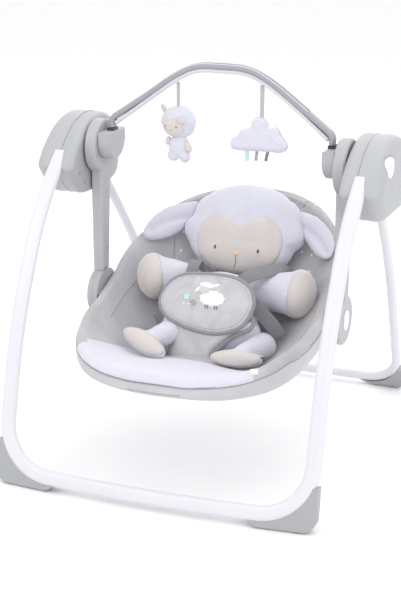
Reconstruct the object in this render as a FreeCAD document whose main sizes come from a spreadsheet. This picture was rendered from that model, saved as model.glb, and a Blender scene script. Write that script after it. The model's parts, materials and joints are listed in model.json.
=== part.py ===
import FreeCAD, Part

import math
import os

from FreeCAD import Placement, Rotation, Vector

# Baby swing.  Millimetres.  X runs across the swing (+X is the side with the controls), +Y points
# to the back, +Z up.  The origin is on the floor, under the middle of the swing's outer box.

os.makedirs("parts", exist_ok=True)
doc = FreeCAD.newDocument("baby_swing")

DIMENSIONS = {
    # swing pivot and recline pivot
    "hub_y": -33, "hub_z": 521, "hub_r": 8, "recline_y": -35, "recline_z": 255, "recline_r": 5,
    # motor housings: inner face, seam between the two shells, outer face
    "housing_inner": 235.5, "seam": 263.5, "housing_outer": 306, "housing_wall": 3,
    # stand tubes
    "front_tube_x": 267, "front_tube_width": 26, "front_tube_depth": 17,
    "tube_wall": 1.5, "rear_tube_r": 8.5, "rear_top_x": 259, "rear_floor_x": 240, "rear_bar_y": 347,
    "pivot_y": 40, "pivot_z": 465, "pivot_r": 4, "pad_thick": 3,
    # swing arms
    "arm_inner": 212, "arm_split": 222.4, "arm_outer": 233, "arm_head_r": 47, "arm_foot_r": 43,
    "arm_wall": 2.5,
    # seat rim: two half ovals, tilted differently, that meet at the recline pivot
    "rim_half_width": 209, "rim_y": -42, "rim_z": 262, "back_length": 285, "front_length": 285,
    "back_angle": 31, "front_angle": 11.5, "bowl_depth": 82, "bowl_skin": 18, "rim_wall": 18,
    "rim_tube_r": 7,
    # toy bar
    "bar_depth": 18, "bar_height": 10, "liner_height": 6.5, "socket_x": 199,
    "fit_gap": 0.03, "free_gap": 0.3,
}


def make_sheet():
    """The driving dimensions, one named cell each."""
    sheet = doc.addObject("Spreadsheet::Sheet", "dimensions")
    for row, (name, value) in enumerate(DIMENSIONS.items(), start=1):
        sheet.set("A%d" % row, name)
        sheet.set("B%d" % row, str(value))
        sheet.setAlias("B%d" % row, name)
    doc.recompute()
    return sheet


sheet = make_sheet()
pieces = []


def dim(name):
    return float(sheet.get(name))


def bind(item, **expressions):
    """Bind properties; a double underscore stands for a dot."""
    for path, text in expressions.items():
        for name in sorted(DIMENSIONS, key=len, reverse=True):
            text = text.replace("$" + name, "dimensions." + name)
        item.setExpression(path.replace("__", "."), text)
    return item


def keep(item, label):
    """Make an object one of the sub-parts that are written out."""
    item.Label = label
    pieces.append(item)
    return item


# ---------------------------------------------------------------- building blocks

def cylinder_x(name, radius, start, end, y, z):
    """A cylinder along X; radius, start, end, y and z are expressions of the sheet."""
    item = doc.addObject("Part::Cylinder", name)
    item.Placement = Placement(Vector(), Rotation(Vector(0, 1, 0), 90))
    bind(item, Radius=radius, Height="(%s) - (%s)" % (end, start), Placement__Base__x=start,
         Placement__Base__y=y, Placement__Base__z=z)
    return item


def box(name, low, high):
    """An upright box between two corners."""
    item = doc.addObject("Part::Box", name)
    item.Length, item.Width, item.Height = [b - a for a, b in zip(low, high)]
    item.Placement.Base = Vector(*low)
    return item


def ellipsoid(name, centre, radii, tilt=0):
    """An ellipsoid with its three half axes along X, Y, Z, tipped about X."""
    item = doc.addObject("Part::Ellipsoid", name)
    item.Radius2, item.Radius3, item.Radius1 = radii
    item.Angle1, item.Angle2, item.Angle3 = -90, 90, 360
    item.Placement = Placement(Vector(*centre), Rotation(Vector(1, 0, 0), tilt))
    return item


def feature(name, shape):
    item = doc.addObject("Part::Feature", name)
    item.Shape = shape
    return item


def fuse(name, items):
    item = doc.addObject("Part::MultiFuse", name)
    item.Shapes = items
    return item


def cut(name, base, tools):
    """Take one or more tools away from a base, one after the other."""
    for number, tool in enumerate(tools):
        last = number == len(tools) - 1
        item = doc.addObject("Part::Cut", name if last else "%s_step_%d" % (name, number))
        item.Base, item.Tool = base, tool
        base = item
    return base


def common(name, items):
    item = doc.addObject("Part::MultiCommon", name)
    item.Shapes = items
    return item


def mirrored(item, name):
    """The same object on the other side of the swing."""
    twin = doc.addObject("Part::Mirroring", name)
    twin.Source = item
    twin.Base = Vector(0, 0, 0)
    twin.Normal = Vector(1, 0, 0)
    return twin


def keep_pair(item, label):
    """Keep a right-hand piece and its mirror image as two sub-parts."""
    keep(item, label + "_right")
    keep(mirrored(item, "mirror_" + label), label + "_left")


def keep_group(item, label):
    """Keep a right-hand piece and its mirror image as one group of solids."""
    group = doc.addObject("Part::Compound", "group_" + label)
    group.Links = [item, mirrored(item, "mirror_" + label)]
    keep(group, label)


def plane_of(body, role):
    return [part for part in body.Origin.OriginFeatures if part.Role == role][0]


def draw(sketch, outline):
    """A closed outline: points (a, b), with a third entry marking the middle point of an arc."""
    corners = outline + [outline[0]]
    here, through = None, None
    for point in corners:
        spot = Vector(point[0], point[1], 0)
        if len(point) == 3:
            through = spot
            continue
        if here is not None:
            edge = Part.Arc(here, through, spot) if through else Part.LineSegment(here, spot)
            sketch.addGeometry(edge, False)
        here, through = spot, None


def sketch_on(body, role, outline, offset="0"):
    """A sketch on one of the body's own planes, lifted by an expression."""
    sketch = body.newObject("Sketcher::SketchObject", body.Name + "_sketch")
    sketch.AttachmentSupport = [(plane_of(body, role), "")]
    sketch.MapMode = "FlatFace"
    bind(sketch, AttachmentOffset__Base__z=offset)
    draw(sketch, outline)
    return sketch


def padded_body(name, role, outline, start, end):
    """A body made by one pad between two expressions along its plane's normal."""
    body = doc.addObject("PartDesign::Body", name)
    sketch = sketch_on(body, role, outline, start)
    pad = body.newObject("PartDesign::Pad", name + "_pad")
    pad.Profile = sketch
    bind(pad, Length="(%s) - (%s)" % (end, start))
    doc.recompute()
    return body


def round_edges(body, radius, chosen):
    """Fillet the edges of the tip that the test picks."""
    tip = body.Tip
    names = ["Edge%d" % (i + 1) for i, edge in enumerate(tip.Shape.Edges) if chosen(edge)]
    fillet = body.newObject("PartDesign::Fillet", body.Name + "_fillet")
    fillet.Base = (tip, names)
    fillet.Radius = radius
    doc.recompute()


def bevel_edges(body, size, chosen):
    """Chamfer the edges of the tip that the test picks."""
    tip = body.Tip
    names = ["Edge%d" % (i + 1) for i, edge in enumerate(tip.Shape.Edges) if chosen(edge)]
    chamfer = body.newObject("PartDesign::Chamfer", body.Name + "_chamfer")
    chamfer.Base = (tip, names)
    chamfer.Size = size
    doc.recompute()


def edges_at(axis, value):
    """A test for edges that lie in the plane axis = value."""
    def test(edge):
        box_ = edge.BoundBox
        low = getattr(box_, axis + "Min")
        high = getattr(box_, axis + "Max")
        return abs(low - value) < 0.01 and abs(high - value) < 0.01
    return test


def pocket(body, role, outline, start, depth, towards_plus):
    """Cut a pocket; the removed volume is checked, because a wrong direction removes nothing."""
    before = body.Shape.Volume
    sketch = sketch_on(body, role, outline, start)
    item = body.newObject("PartDesign::Pocket", body.Name + "_pocket")
    item.Profile = sketch
    item.Reversed = towards_plus
    bind(item, Length=depth)
    doc.recompute()
    assert body.Shape.Volume < before - 1, body.Name


def rounded_path(points, reaches=None):
    """Straight runs joined by tangent arcs, each as large as its runs allow unless told less."""
    reaches = reaches or {}
    edges, here = [], points[0]
    for i in range(1, len(points) - 1):
        corner = points[i]
        back, ahead = points[i - 1] - corner, points[i + 1] - corner
        reach = min(reaches.get(i, 1e9), 0.49 * min(back.Length, ahead.Length))
        back.normalize()
        ahead.normalize()
        half = back.getAngle(ahead) / 2
        middle = (back + ahead).normalize()
        start, end = corner + back * reach, corner + ahead * reach
        inset = reach / math.cos(half) - reach * math.tan(half)
        if (start - here).Length > 0.01:
            edges.append(Part.LineSegment(here, start).toShape())
        edges.append(Part.Arc(start, corner + middle * inset, end).toShape())
        here = end
    edges.append(Part.LineSegment(here, points[-1]).toShape())
    return Part.Wire(edges)


def placed_section(wire, path_start, direction, wide):
    """Put a flat section, drawn in its own XY, at the start of a path, its X along wide."""
    out = Vector(direction).normalize()
    across = (wide - out * wide.dot(out)).normalize()
    up = out.cross(across)
    frame = FreeCAD.Matrix(across.x, up.x, out.x, path_start.x, across.y, up.y, out.y, path_start.y,
                           across.z, up.z, out.z, path_start.z, 0, 0, 0, 1)
    section = wire.copy()
    section.transformShape(frame)
    return section


def stadium(width, depth, grow=0.0):
    """A flat oval: two straight sides and two round ends."""
    r = depth / 2 + grow
    a = width / 2 - depth / 2
    line_top = Part.LineSegment(Vector(a, r, 0), Vector(-a, r, 0)).toShape()
    left = Part.Arc(Vector(-a, r, 0), Vector(-a - r, 0, 0), Vector(-a, -r, 0)).toShape()
    line_low = Part.LineSegment(Vector(-a, -r, 0), Vector(a, -r, 0)).toShape()
    right = Part.Arc(Vector(a, -r, 0), Vector(a + r, 0, 0), Vector(a, r, 0)).toShape()
    return Part.Wire([line_top, left, line_low, right])


def circle(radius):
    return Part.Wire([Part.Circle(Vector(), Vector(0, 0, 1), radius).toShape()])


def swept(path, section, wide):
    """Sweep a section along a path."""
    first = path.OrderedEdges[0]
    start = first.valueAt(first.FirstParameter)
    along = first.tangentAt(first.FirstParameter)
    placed = placed_section(section, start, along, wide)
    return path.makePipeShell([placed], True, False)


def both_sides(points):
    """A path from the right-hand points through the middle to their mirror image."""
    return points + [Vector(-p.x, p.y, p.z) for p in reversed(points)]


# ---------------------------------------------------------------- motor housings

HOUSING_CENTRE = Vector(0, -25, 507)
HOUSING_OUTLINE = [(-125, 497.5), (-110, 519), (-91, 537.5), (-67, 555), (-36, 568), (0, 572.5),
                   (36, 565.5), (63, 546.5), (79, 517), (83, 481), (74, 453), (48, 441), (0, 438),
                   (-48, 438), (-78, 444), (-101, 461), (-118.5, 481.5)]


def housing_section(x, inset):
    """The housing's outline at one station, drawn in towards its centre."""
    points = []
    for y, z in HOUSING_OUTLINE:
        point = Vector(0, y, z)
        inward = (HOUSING_CENTRE - point).normalize() * inset
        points.append(Vector(x, point.y + inward.y, point.z + inward.z))
    curve = Part.BSplineCurve()
    curve.interpolate(points, PeriodicFlag=True)
    return Part.Wire([curve.toShape()])


def bulged_stations(seam, face, round_r):
    """Stations from the seam to an end face, with the inset of a quarter-round shoulder."""
    way = 1 if face > seam else -1
    shoulder = face - way * round_r
    stations = [(seam, 0.0), (shoulder, 0.0)]
    for degrees in (25, 48, 66, 80, 90):
        angle = math.radians(degrees)
        stations.append((shoulder + way * round_r * math.sin(angle), round_r * (1 - math.cos(angle))))
    return stations


def housing_solid(seam, face, round_r, wall=0.0):
    """One half of the housing, or with a wall its hollow inside."""
    way = 1 if face > seam else -1
    stations = bulged_stations(seam, face - way * wall, round_r - wall)
    sections = [housing_section(x, inset + wall) for x, inset in stations]
    return Part.makeLoft(sections, True, False)


def front_tube_points():
    x = dim("front_tube_x")
    return [Vector(x, -100, 517), Vector(x, -193, 425), Vector(x, -283, 252), Vector(x, -337, 22),
            Vector(80, -353, 22)]


def front_tube_path():
    return rounded_path(both_sides(front_tube_points()), {3: 85, 6: 85})


def front_tube_shape(grow=0.0):
    section = stadium(dim("front_tube_width"), dim("front_tube_depth"), grow)
    return swept(front_tube_path(), section, Vector(1, 0, 0))


def make_housings():
    seam, wall = dim("seam"), dim("housing_wall")
    outer_full = feature("outer_full", housing_solid(seam, dim("housing_outer"), 22))
    outer_void = feature("outer_void", housing_solid(seam, dim("housing_outer"), 22, wall))
    inner_full = feature("inner_full", housing_solid(seam, dim("housing_inner"), 12))
    inner_void = feature("inner_void", housing_solid(seam, dim("housing_inner"), 12, wall))
    leg_hole = feature("leg_hole", front_tube_shape(dim("free_gap")))
    fold_slot = box("fold_slot", (248, 14, 415), (272, 100, 452))
    pin_hole = cylinder_x("pin_hole", "$pivot_r + $fit_gap", "$housing_inner + 1",
                          "$housing_outer - 1", "$pivot_y", "$pivot_z")
    hub_hole = cylinder_x("hub_hole", "$hub_r + 4 + $fit_gap", "$housing_inner - 5",
                          "$seam", "$hub_y", "$hub_z")
    screw_holes = [cylinder_x("screw_hole_%d" % i, "3.55", "$housing_inner - 1",
                              "$housing_inner + $housing_wall + 1", str(y), str(z))
                   for i, (y, z) in enumerate(HOUSING_SCREWS)]
    release_hole = cylinder_x("release_hole", "11 + $free_gap", "$housing_inner - 1",
                              "$housing_inner + $housing_wall + 1", "$pivot_y + 18", "$pivot_z + 32")
    inner = cut("inner_shell", inner_full, [inner_void, leg_hole, fold_slot, pin_hole, hub_hole,
                                            release_hole] + screw_holes)
    keep_pair(inner, "housing_inner")
    outer_left = cut("outer_shell_plain", outer_full, [outer_void, leg_hole, fold_slot, pin_hole])
    keep(mirrored(outer_left, "mirror_outer_shell"), "housing_outer_left")
    panel_hole = panel_prism("panel_hole", 0)
    door_hole = box("door_hole", (300, 4, 484), (310, 46, 534))
    outer_right = cut("outer_shell_controls", outer_full,
                      [outer_void, leg_hole, fold_slot, pin_hole, panel_hole, door_hole])
    keep(outer_right, "housing_outer_right")
    return outer_full, outer_void


PANEL_CENTRE = (-60, 531)
PANEL_RADII = (24, 20)
BEZEL_RIM = 2.2
HOUSING_SCREWS = [(42, 536), (-70, 462), (-92, 482)]


def panel_prism(name, inset):
    """An oval prism along X where the control panel sits."""
    major = PANEL_RADII[0] - inset
    minor = PANEL_RADII[1] - inset
    oval = Part.Ellipse(Vector(), major, minor).toShape()
    face = Part.Face(Part.Wire([oval]))
    prism = face.extrude(Vector(0, 0, 40))
    prism.Placement = Placement(Vector(275, PANEL_CENTRE[0], PANEL_CENTRE[1]),
                                Rotation(Vector(0, 1, 0), Vector(0, 0, 1), Vector(1, 0, 0), "ZXY"))
    return feature(name, prism)


def make_control_panel(outer_full, outer_void):
    """An oval panel in the right housing: a rim and three keys that follow the housing's curve."""
    gap = dim("free_gap")
    skin = cut("panel_skin", outer_full, [outer_void])
    rim = cut("rim_skin", skin, [panel_prism("rim_inside", gap + BEZEL_RIM)])
    bezel = common("bezel", [rim, panel_prism("rim_outside", gap)])
    keep(bezel, "control_bezel")
    inset = 2 * gap + BEZEL_RIM
    y, z = PANEL_CENTRE
    corners = {"power_button": ((280, y - 40, z + 2 + gap), (315, y + 40, z + 40)),
               "melody_button": ((280, y - 40, z - 40), (315, y - 2 - gap, z + 2 - gap)),
               "volume_button": ((280, y - 2 + gap, z - 40), (315, y + 40, z + 2 - gap))}
    for name, (low, high) in corners.items():
        key = common(name, [skin, panel_prism(name + "_oval", inset), box(name + "_part", low, high)])
        keep(key, name)


def make_screw(name, head_r, shank_r, head_span, shank_end, y, z):
    """A screw along X: its head between two expressions, its shank on to a third."""
    head = cylinder_x(name + "_head", head_r, head_span[0], head_span[1], y, z)
    shank = cylinder_x(name + "_shank", shank_r, head_span[1], shank_end, y, z)
    return fuse(name, [head, shank])


def keep_screws(screws, label):
    group = doc.addObject("Part::Compound", label + "_right")
    group.Links = screws
    keep_group(group, label)


BATTERY_DOOR = ((303.2, 4.3, 484.3), (306, 45.7, 533.7))


def make_housing_insides():
    bush_outer = cylinder_x("bush_out", "$hub_r + 4", "$housing_inner - 0.5", "$housing_inner + 12", "$hub_y",
                            "$hub_z")
    bush_bore = cylinder_x("bush_in", "$hub_r + 0.06", "$housing_inner - 1", "$housing_inner + 13",
                           "$hub_y", "$hub_z")
    keep_group(cut("bush", bush_outer, [bush_bore]), "hub_bushings")
    pin = cylinder_x("leg_pin", "$pivot_r", "$housing_inner + 1.2", "$housing_outer - 1.2", "$pivot_y",
                     "$pivot_z")
    keep_group(pin, "leg_pivot_pins")
    head_span = ("$housing_inner + 0.4", "$housing_inner + 3")
    keep_screws([make_screw("h_screw_%d" % i, "3.5", "1.75", head_span, "$seam - 1", str(y), str(z))
                 for i, (y, z) in enumerate(HOUSING_SCREWS)], "housing_screws")
    board_outline = [(-90, 488), (-90, 524), (-18, 524), (-18, 488)]
    keep(padded_body("board", "YZ_Plane", board_outline, "286", "287.6"), "circuit_board")
    magnet = cylinder_x("speaker_magnet", "9", "285", "290", "14", "535")
    frame = cylinder_x("speaker_frame", "15", "290", "295", "14", "535")
    keep(fuse("speaker_all", [magnet, frame]), "speaker")
    coil_eye = box("coil_eye", (253, -46, 450), (263, -20, 458))
    keep(cut("coil", box("coil_block", (254, -57, 446), (262, -9, 462)), [coil_eye]), "drive_coil")
    tray_hollow = box("tray_hollow", (273, -10, 486), (284, 58, 512))
    keep(cut("tray", box("tray_block", (271, -12, 484), (283.5, 60, 514)), [tray_hollow]), "battery_tray")
    keep(box("door_plate", *BATTERY_DOOR), "battery_door")


# ---------------------------------------------------------------- stand legs

def foot(name, outline, thick, path_start, tilt, turn, tube):
    """A boot round the outside of a tube's lower bend: flat under, hollowed for the tube."""
    body = padded_body(name, "XZ_Plane", outline, "-%g" % (thick / 2), "%g" % (thick / 2))
    stand = Placement(Vector(0, path_start, 0), Rotation(turn, 0, 0))
    body.Placement = stand.multiply(Placement(Vector(), Rotation(Vector(1, 0, 0), tilt)))
    floor = box(name + "_floor", (0, path_start - 60, -40), (400, path_start + 90, dim("pad_thick")))
    return cut(name + "_boot", body, [floor, tube])


def boot_outline(x_out, top, x_in, tip_z, pad_in, pad_out, corner):
    """The boot seen from the front: x_out is its outer side, x_in the tip along the floor bar."""
    return [(x_out - 13, top), (x_out, top + 2), (x_out, corner + 4),
            (x_out - 0.3 * corner, 0.3 * corner, 1), (pad_out, 0), (pad_in, 0), (x_in, tip_z),
            (pad_in + 0.42 * (x_out - pad_in), 0.5 * tip_z + 0.3 * top, 1)]


def foot_pad(name, pad_in, pad_out, depth, y, turn):
    pad = doc.addObject("Part::Box", name)
    pad.Length, pad.Width = pad_out - pad_in, depth
    bind(pad, Height="$pad_thick")
    pad.Placement = Placement(Vector(pad_in, y - depth / 2, 0), Rotation(turn, 0, 0))
    return pad


def make_front_leg():
    tube = cut("front_tube", feature("front_tube_full", front_tube_shape()),
               [feature("front_tube_inside", front_tube_shape(-dim("tube_wall")))])
    keep(tube, "front_leg_tube")
    clear = feature("front_tube_clear", front_tube_shape(0.05))
    outline = boot_outline(281, 72, 152, 20, 184, 250, 24)
    boot = foot("front_foot", outline, 22, -360, -11.5, 5, clear)
    keep_pair(boot, "front_foot")
    keep_group(foot_pad("front_pad", 186, 248, 15, -344, 5), "front_foot_pads")


def rear_tube_points():
    top, low, y = dim("rear_top_x"), dim("rear_floor_x"), dim("rear_bar_y")
    return [Vector(top, dim("pivot_y") + 6, dim("pivot_z") - 7), Vector(top - 8, 196, 284),
            Vector(low, y, 17), Vector(0, y, 17)]


def rear_tube_shape(grow=0.0):
    right = rear_tube_points()
    points = right + [Vector(-p.x, p.y, p.z) for p in reversed(right[:-1])]
    del points[3]
    path = rounded_path(points, {2: 62, 3: 62})
    return swept(path, circle(dim("rear_tube_r") + grow), Vector(1, 0, 0))


def leg_pivot_cylinder(name, radius, reach):
    """A cylinder round the leg pivot, centred on the rear tube's top end."""
    return cylinder_x(name, radius, "$rear_top_x - %g" % reach, "$rear_top_x + %g" % reach, "$pivot_y",
                      "$pivot_z")


def make_rear_leg():
    clear = feature("rear_tube_clear", rear_tube_shape(0.05))
    hub = cut("leg_hub_all", leg_pivot_cylinder("leg_hub", "14", 9.5),
              [leg_pivot_cylinder("leg_hub_bore", "$pivot_r + 0.06", 20), clear])
    keep_group(hub, "rear_leg_hubs")
    right_bore = leg_pivot_cylinder("tube_bore", "$pivot_r + 1", 20)
    twin = leg_pivot_cylinder("tube_bore_twin", "$pivot_r + 1", 20)
    tube = cut("rear_tube", feature("rear_tube_full", rear_tube_shape()),
               [feature("rear_tube_inside", rear_tube_shape(-dim("tube_wall"))), right_bore,
                mirrored(twin, "tube_bore_left")])
    keep(tube, "rear_leg_tube")
    outline = boot_outline(251, 46, 166, 14, 194, 230, 17)
    boot = foot("rear_foot", outline, 19, 354, 19, 0, clear)
    keep_pair(boot, "rear_foot")
    keep_group(foot_pad("rear_pad", 196, 228, 12, 350, 0), "rear_foot_pads")


# ---------------------------------------------------------------- swing arms

def arm_outline(inset=0.0, whole=True):
    """Round head, tapering stem and round foot; the cover stops above the foot."""
    y, z = dim("hub_y"), dim("hub_z")
    head = dim("arm_head_r") - inset
    low_y, low_z = dim("recline_y"), dim("recline_z")
    foot_r = dim("arm_foot_r") - inset
    top_half, low_half = 19 - inset, 12 - inset
    top_z = z - math.sqrt(head ** 2 - top_half ** 2)
    start = [(y - top_half, top_z), (y, z + head, 1), (y + top_half, top_z)]
    if whole:
        joint_z = low_z + math.sqrt(foot_r ** 2 - low_half ** 2)
        return start + [(low_y + low_half, joint_z), (low_y, low_z - foot_r, 1),
                        (low_y - low_half, joint_z)]
    cut_r = dim("arm_foot_r") + 0.6 + 2 * inset
    joint_z = low_z + math.sqrt(cut_r ** 2 - low_half ** 2)
    return start + [(low_y + low_half, joint_z), (low_y, low_z + cut_r, 1), (low_y - low_half, joint_z)]


ARM_SCREWS = [(-33, 440), (-34, 335)]


def make_arms():
    split, inner, outer = dim("arm_split"), dim("arm_inner"), dim("arm_outer")
    arm = padded_body("arm", "YZ_Plane", arm_outline(), "$arm_split + 0.1", "$arm_outer")
    bevel_edges(arm, 3, edges_at("X", outer))
    pocket(arm, "YZ_Plane", arm_outline(dim("arm_wall")), "$arm_split + 0.1",
           "$arm_outer - $arm_split - $arm_wall", True)
    boss = cylinder_x("arm_boss", "13", "$arm_split + 0.1", "$arm_outer - 1", "$hub_y", "$hub_z")
    pin_boss = cylinder_x("pin_boss", "21", "$arm_split + 0.1", "$arm_outer - 1", "$recline_y",
                          "$recline_z")
    shaft_hole = cylinder_x("shaft_hole", "$hub_r + $fit_gap", "$arm_inner", "$arm_outer + 5", "$hub_y",
                            "$hub_z")
    pin_seat = cylinder_x("pin_seat", "$recline_r + $fit_gap", "$arm_inner", "$arm_outer - 1.5",
                          "$recline_y", "$recline_z")
    button_hole = padded_body("button_hole", "YZ_Plane", oval_outline(13.3, 18.3), "$arm_outer - 3.4",
                              "$arm_outer + 2")
    keep_pair(cut("arm_all", fuse("arm_bosses", [arm, boss, pin_boss]),
                  [shaft_hole, pin_seat, button_hole]), "arm")
    cover = padded_body("arm_cover", "YZ_Plane", arm_outline(0, False), "$arm_inner", "$arm_split")
    bevel_edges(cover, 2.5, edges_at("X", inner))
    pocket(cover, "YZ_Plane", arm_outline(dim("arm_wall"), False), "$arm_split",
           "$arm_split - $arm_inner - $arm_wall", False)
    stud_hole = cylinder_x("stud_hole", "6.06", "$arm_inner - 1", "$arm_split", "$hub_y", "$hub_z")
    screw_holes = [cylinder_x("arm_screw_hole_%d" % i, "3.05", "$arm_inner - 1", "$arm_inner + 4", str(y),
                              str(z)) for i, (y, z) in enumerate(ARM_SCREWS)]
    keep_pair(cut("cover_all", cover, [stud_hole] + screw_holes), "arm_cover")
    head_span = ("$arm_inner + 0.4", "$arm_inner + 2.5")
    keep_screws([make_screw("a_screw_%d" % i, "3", "1.5", head_span, "$arm_outer - 3", str(y), str(z))
                 for i, (y, z) in enumerate(ARM_SCREWS)], "arm_screws")
    shaft = cylinder_x("shaft", "$hub_r", "$arm_split + 0.3", "$seam - 3", "$hub_y", "$hub_z")
    keep_group(shaft, "hub_shafts")
    pin = cylinder_x("recline_pin", "$recline_r", "204", "$arm_outer - 3.6", "$recline_y", "$recline_z")
    keep_group(pin, "recline_pins")
    button = padded_body("recline_button", "YZ_Plane", oval_outline(13, 18), "$arm_outer - 1.8",
                         "$arm_outer + 2")
    round_edges(button, 1.5, edges_at("X", outer + 2))
    keep_pair(button, "recline_button")


def oval_outline(half_width, half_height):
    """An upright oval round the recline pivot: two half rounds joined by straight sides."""
    y, z = dim("recline_y"), dim("recline_z")
    rise = half_height - half_width
    return [(y - half_width, z - rise), (y, z - half_height, 1), (y + half_width, z - rise),
            (y + half_width, z + rise), (y, z + half_height, 1), (y - half_width, z + rise)]


def make_drive():
    """The lever on the right-hand shaft and the magnet that the coil pulls."""
    y, z = dim("hub_y"), dim("hub_z")
    lever = padded_body("lever", "YZ_Plane", [(y - 15, z - 5), (y, z + 15, 1), (y + 15, z - 5),
                                              (y + 7, z - 74), (y - 7, z - 74)], "248.5", "253")
    hole = cylinder_x("lever_hole", "$hub_r + $fit_gap", "240", "$seam", "$hub_y", "$hub_z")
    slot = box("magnet_slot", (247, y - 5, 452.8), (254, y + 5, 466.2))
    keep(cut("lever_all", lever, [hole, slot]), "drive_lever")
    magnet = box("magnet", (248.5, y - 4.95, 452.85), (253, y + 4.95, 466.15))
    keep(magnet, "drive_magnet")


# ---------------------------------------------------------------- toy bar and toys

def make_sockets():
    """A cup on the inside of each arm head, flat on top and round below, turning on a stud."""
    y, z = dim("hub_y"), dim("hub_z")
    outline = [(y - 36, 550), (y - 36, 530), (y, 499, 1), (y + 36, 530), (y + 36, 550)]
    cup = padded_body("cup", "YZ_Plane", outline, "$socket_x - 9", "$arm_inner - 1")
    bevel_edges(cup, 3, edges_at("X", dim("socket_x") - 9))
    x = dim("socket_x")
    well = box("well", (x - 6.2, y - 10.2, 520), (x + 6.2, y + 10.2, 560))
    stud = cylinder_x("stud", "6", "$arm_inner - 2", "$arm_split - 1", "$hub_y", "$hub_z")
    keep_pair(cut("cup_all", fuse("cup_stud", [cup, stud]), [well]), "toy_bar_socket")


# half of the arch from the socket to the middle: x, z and how far it leans back from the hub
BAR_CORNERS = [(198, 556, 0), (199, 571, 0), (139, 612, 11), (86, 651, 11), (46, 671, 8)]


def bar_points(drop=0.0):
    """The corners of the toy bar's arch, moved inwards for the strip under it."""
    flat = [(x, z) for x, z, lean in BAR_CORNERS]
    flat.append((-flat[-1][0], flat[-1][1]))
    points = []
    for i, (x, z, lean) in enumerate(BAR_CORNERS):
        ahead = Vector(flat[i + 1][0] - x, flat[i + 1][1] - z, 0).normalize()
        behind = Vector(x - flat[i - 1][0], z - flat[i - 1][1], 0).normalize() if i else ahead
        inward = (Vector(-ahead.y, ahead.x, 0) + Vector(-behind.y, behind.x, 0)).normalize()
        reach = drop / inward.dot(Vector(-ahead.y, ahead.x, 0))
        points.append(Vector(x + inward.x * reach, dim("hub_y") + lean, z + inward.y * reach))
    return points


def make_toy_bar():
    y, x = dim("hub_y"), dim("socket_x")
    depth, height, strip = dim("bar_depth"), dim("bar_height"), dim("liner_height")
    arch = swept(rounded_path(both_sides(bar_points())), stadium(depth, height), Vector(0, 1, 0))
    keep(feature("arch", arch), "toy_bar_arch")
    under = bar_points((height + strip) / 2 - 1)
    del under[0]
    under[0] = under[0] + Vector(0, 0, -4)
    liner = swept(rounded_path(both_sides(under)), stadium(depth - 2, strip), Vector(0, 1, 0))
    keep(cut("liner", feature("liner_full", liner), [feature("arch_clear", arch)]), "toy_bar_liner")
    plug = box("plug", (x - 5.9, y - 9.9, 522), (x + 5.9, y + 9.9, 554.8))
    keep_group(plug, "toy_bar_ends")


# middle x, middle z and the half axes of each lobe of the cloud
CLOUD_LOBES = [(67, 553, (52, 14, 23)), (64, 566, (25, 14, 24)), (90, 562, (21, 14, 19)),
               (38, 556, (22, 14, 18))]
LAMB_STRAP_TOP, CLOUD_STRAP_TOP = 639.1, 643.9


def make_toys():
    """Two soft toys, each on a flat strap that hangs from the bar."""
    y = dim("hub_y") + 10
    strap = box("lamb_strap", (-83, y - 0.8, 600), (-77, y + 0.8, LAMB_STRAP_TOP))
    keep(strap, "lamb_toy_strap")
    head = ellipsoid("lamb_head", (-80, y, 570), (33, 22, 29.7))
    body = ellipsoid("lamb_body", (-78, y, 525), (20, 15, 23))
    keep(fuse("lamb", [head, body]), "lamb_toy")
    strap = box("cloud_strap", (67, y - 0.8, 590.2), (75, y + 0.8, CLOUD_STRAP_TOP))
    keep(strap, "cloud_toy_strap")
    lobes = [ellipsoid("cloud_lobe_%d" % i, (x, y, z), radii) for i, (x, z, radii) in enumerate(CLOUD_LOBES)]
    cloud = fuse("cloud", lobes)
    keep(cloud, "cloud_toy")
    tabs = []
    for i, x in enumerate((46, 63, 80)):
        block = box("tab_block_%d" % i, (x - 6, y - 1.5, 508), (x + 6, y + 1.5, 540))
        tabs.append(cut("tab_%d" % i, block, [cloud]))
    group = doc.addObject("Part::Compound", "tabs")
    group.Links = tabs
    keep(group, "cloud_toy_tabs")


# ---------------------------------------------------------------- seat

# how square the ovals are: the rim behind the pivot, the rim before it, the bowl's cross-section
BACK_POWER, FRONT_POWER, BOWL_POWER = 2.4, 2.7, 2.6
RIM_TUBE_INSET = 9.5


def rim_point(share, back, inset=0.0):
    """Half width, y and z of the rim at a share of the way from the pivot to the end."""
    power = BACK_POWER if back else FRONT_POWER
    length = (dim("back_length") if back else dim("front_length")) - inset
    angle = math.radians(dim("back_angle") if back else -dim("front_angle"))
    way = 1 if back else -1
    half = (dim("rim_half_width") - inset) * (1 - share ** power) ** (1 / power)
    run = share * length
    return half, dim("rim_y") + way * run * math.cos(angle), dim("rim_z") + run * math.sin(angle)


def bowl_section(half, y, rim_z, depth, rise):
    """A closed cross-section of the bowl: rounded trough below the rim, straight sides above it."""
    points = []
    steps = 12
    for i in range(steps + 1):
        angle = math.pi * i / steps
        across, down = math.cos(angle), math.sin(angle)
        x = half * math.copysign(abs(across) ** (2 / BOWL_POWER), across)
        points.append(Vector(x, y, rim_z - depth * down ** (2 / BOWL_POWER)))
    curve = Part.BSplineCurve()
    curve.interpolate(points)
    top = rim_z + rise
    right, left = Vector(half, y, top), Vector(-half, y, top)
    edges = [Part.LineSegment(left, right).toShape(), curve.toShape()]
    if rise > 0:
        edges.insert(1, Part.LineSegment(right, points[0]).toShape())
        edges.append(Part.LineSegment(points[-1], left).toShape())
    return Part.Wire(edges)


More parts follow.
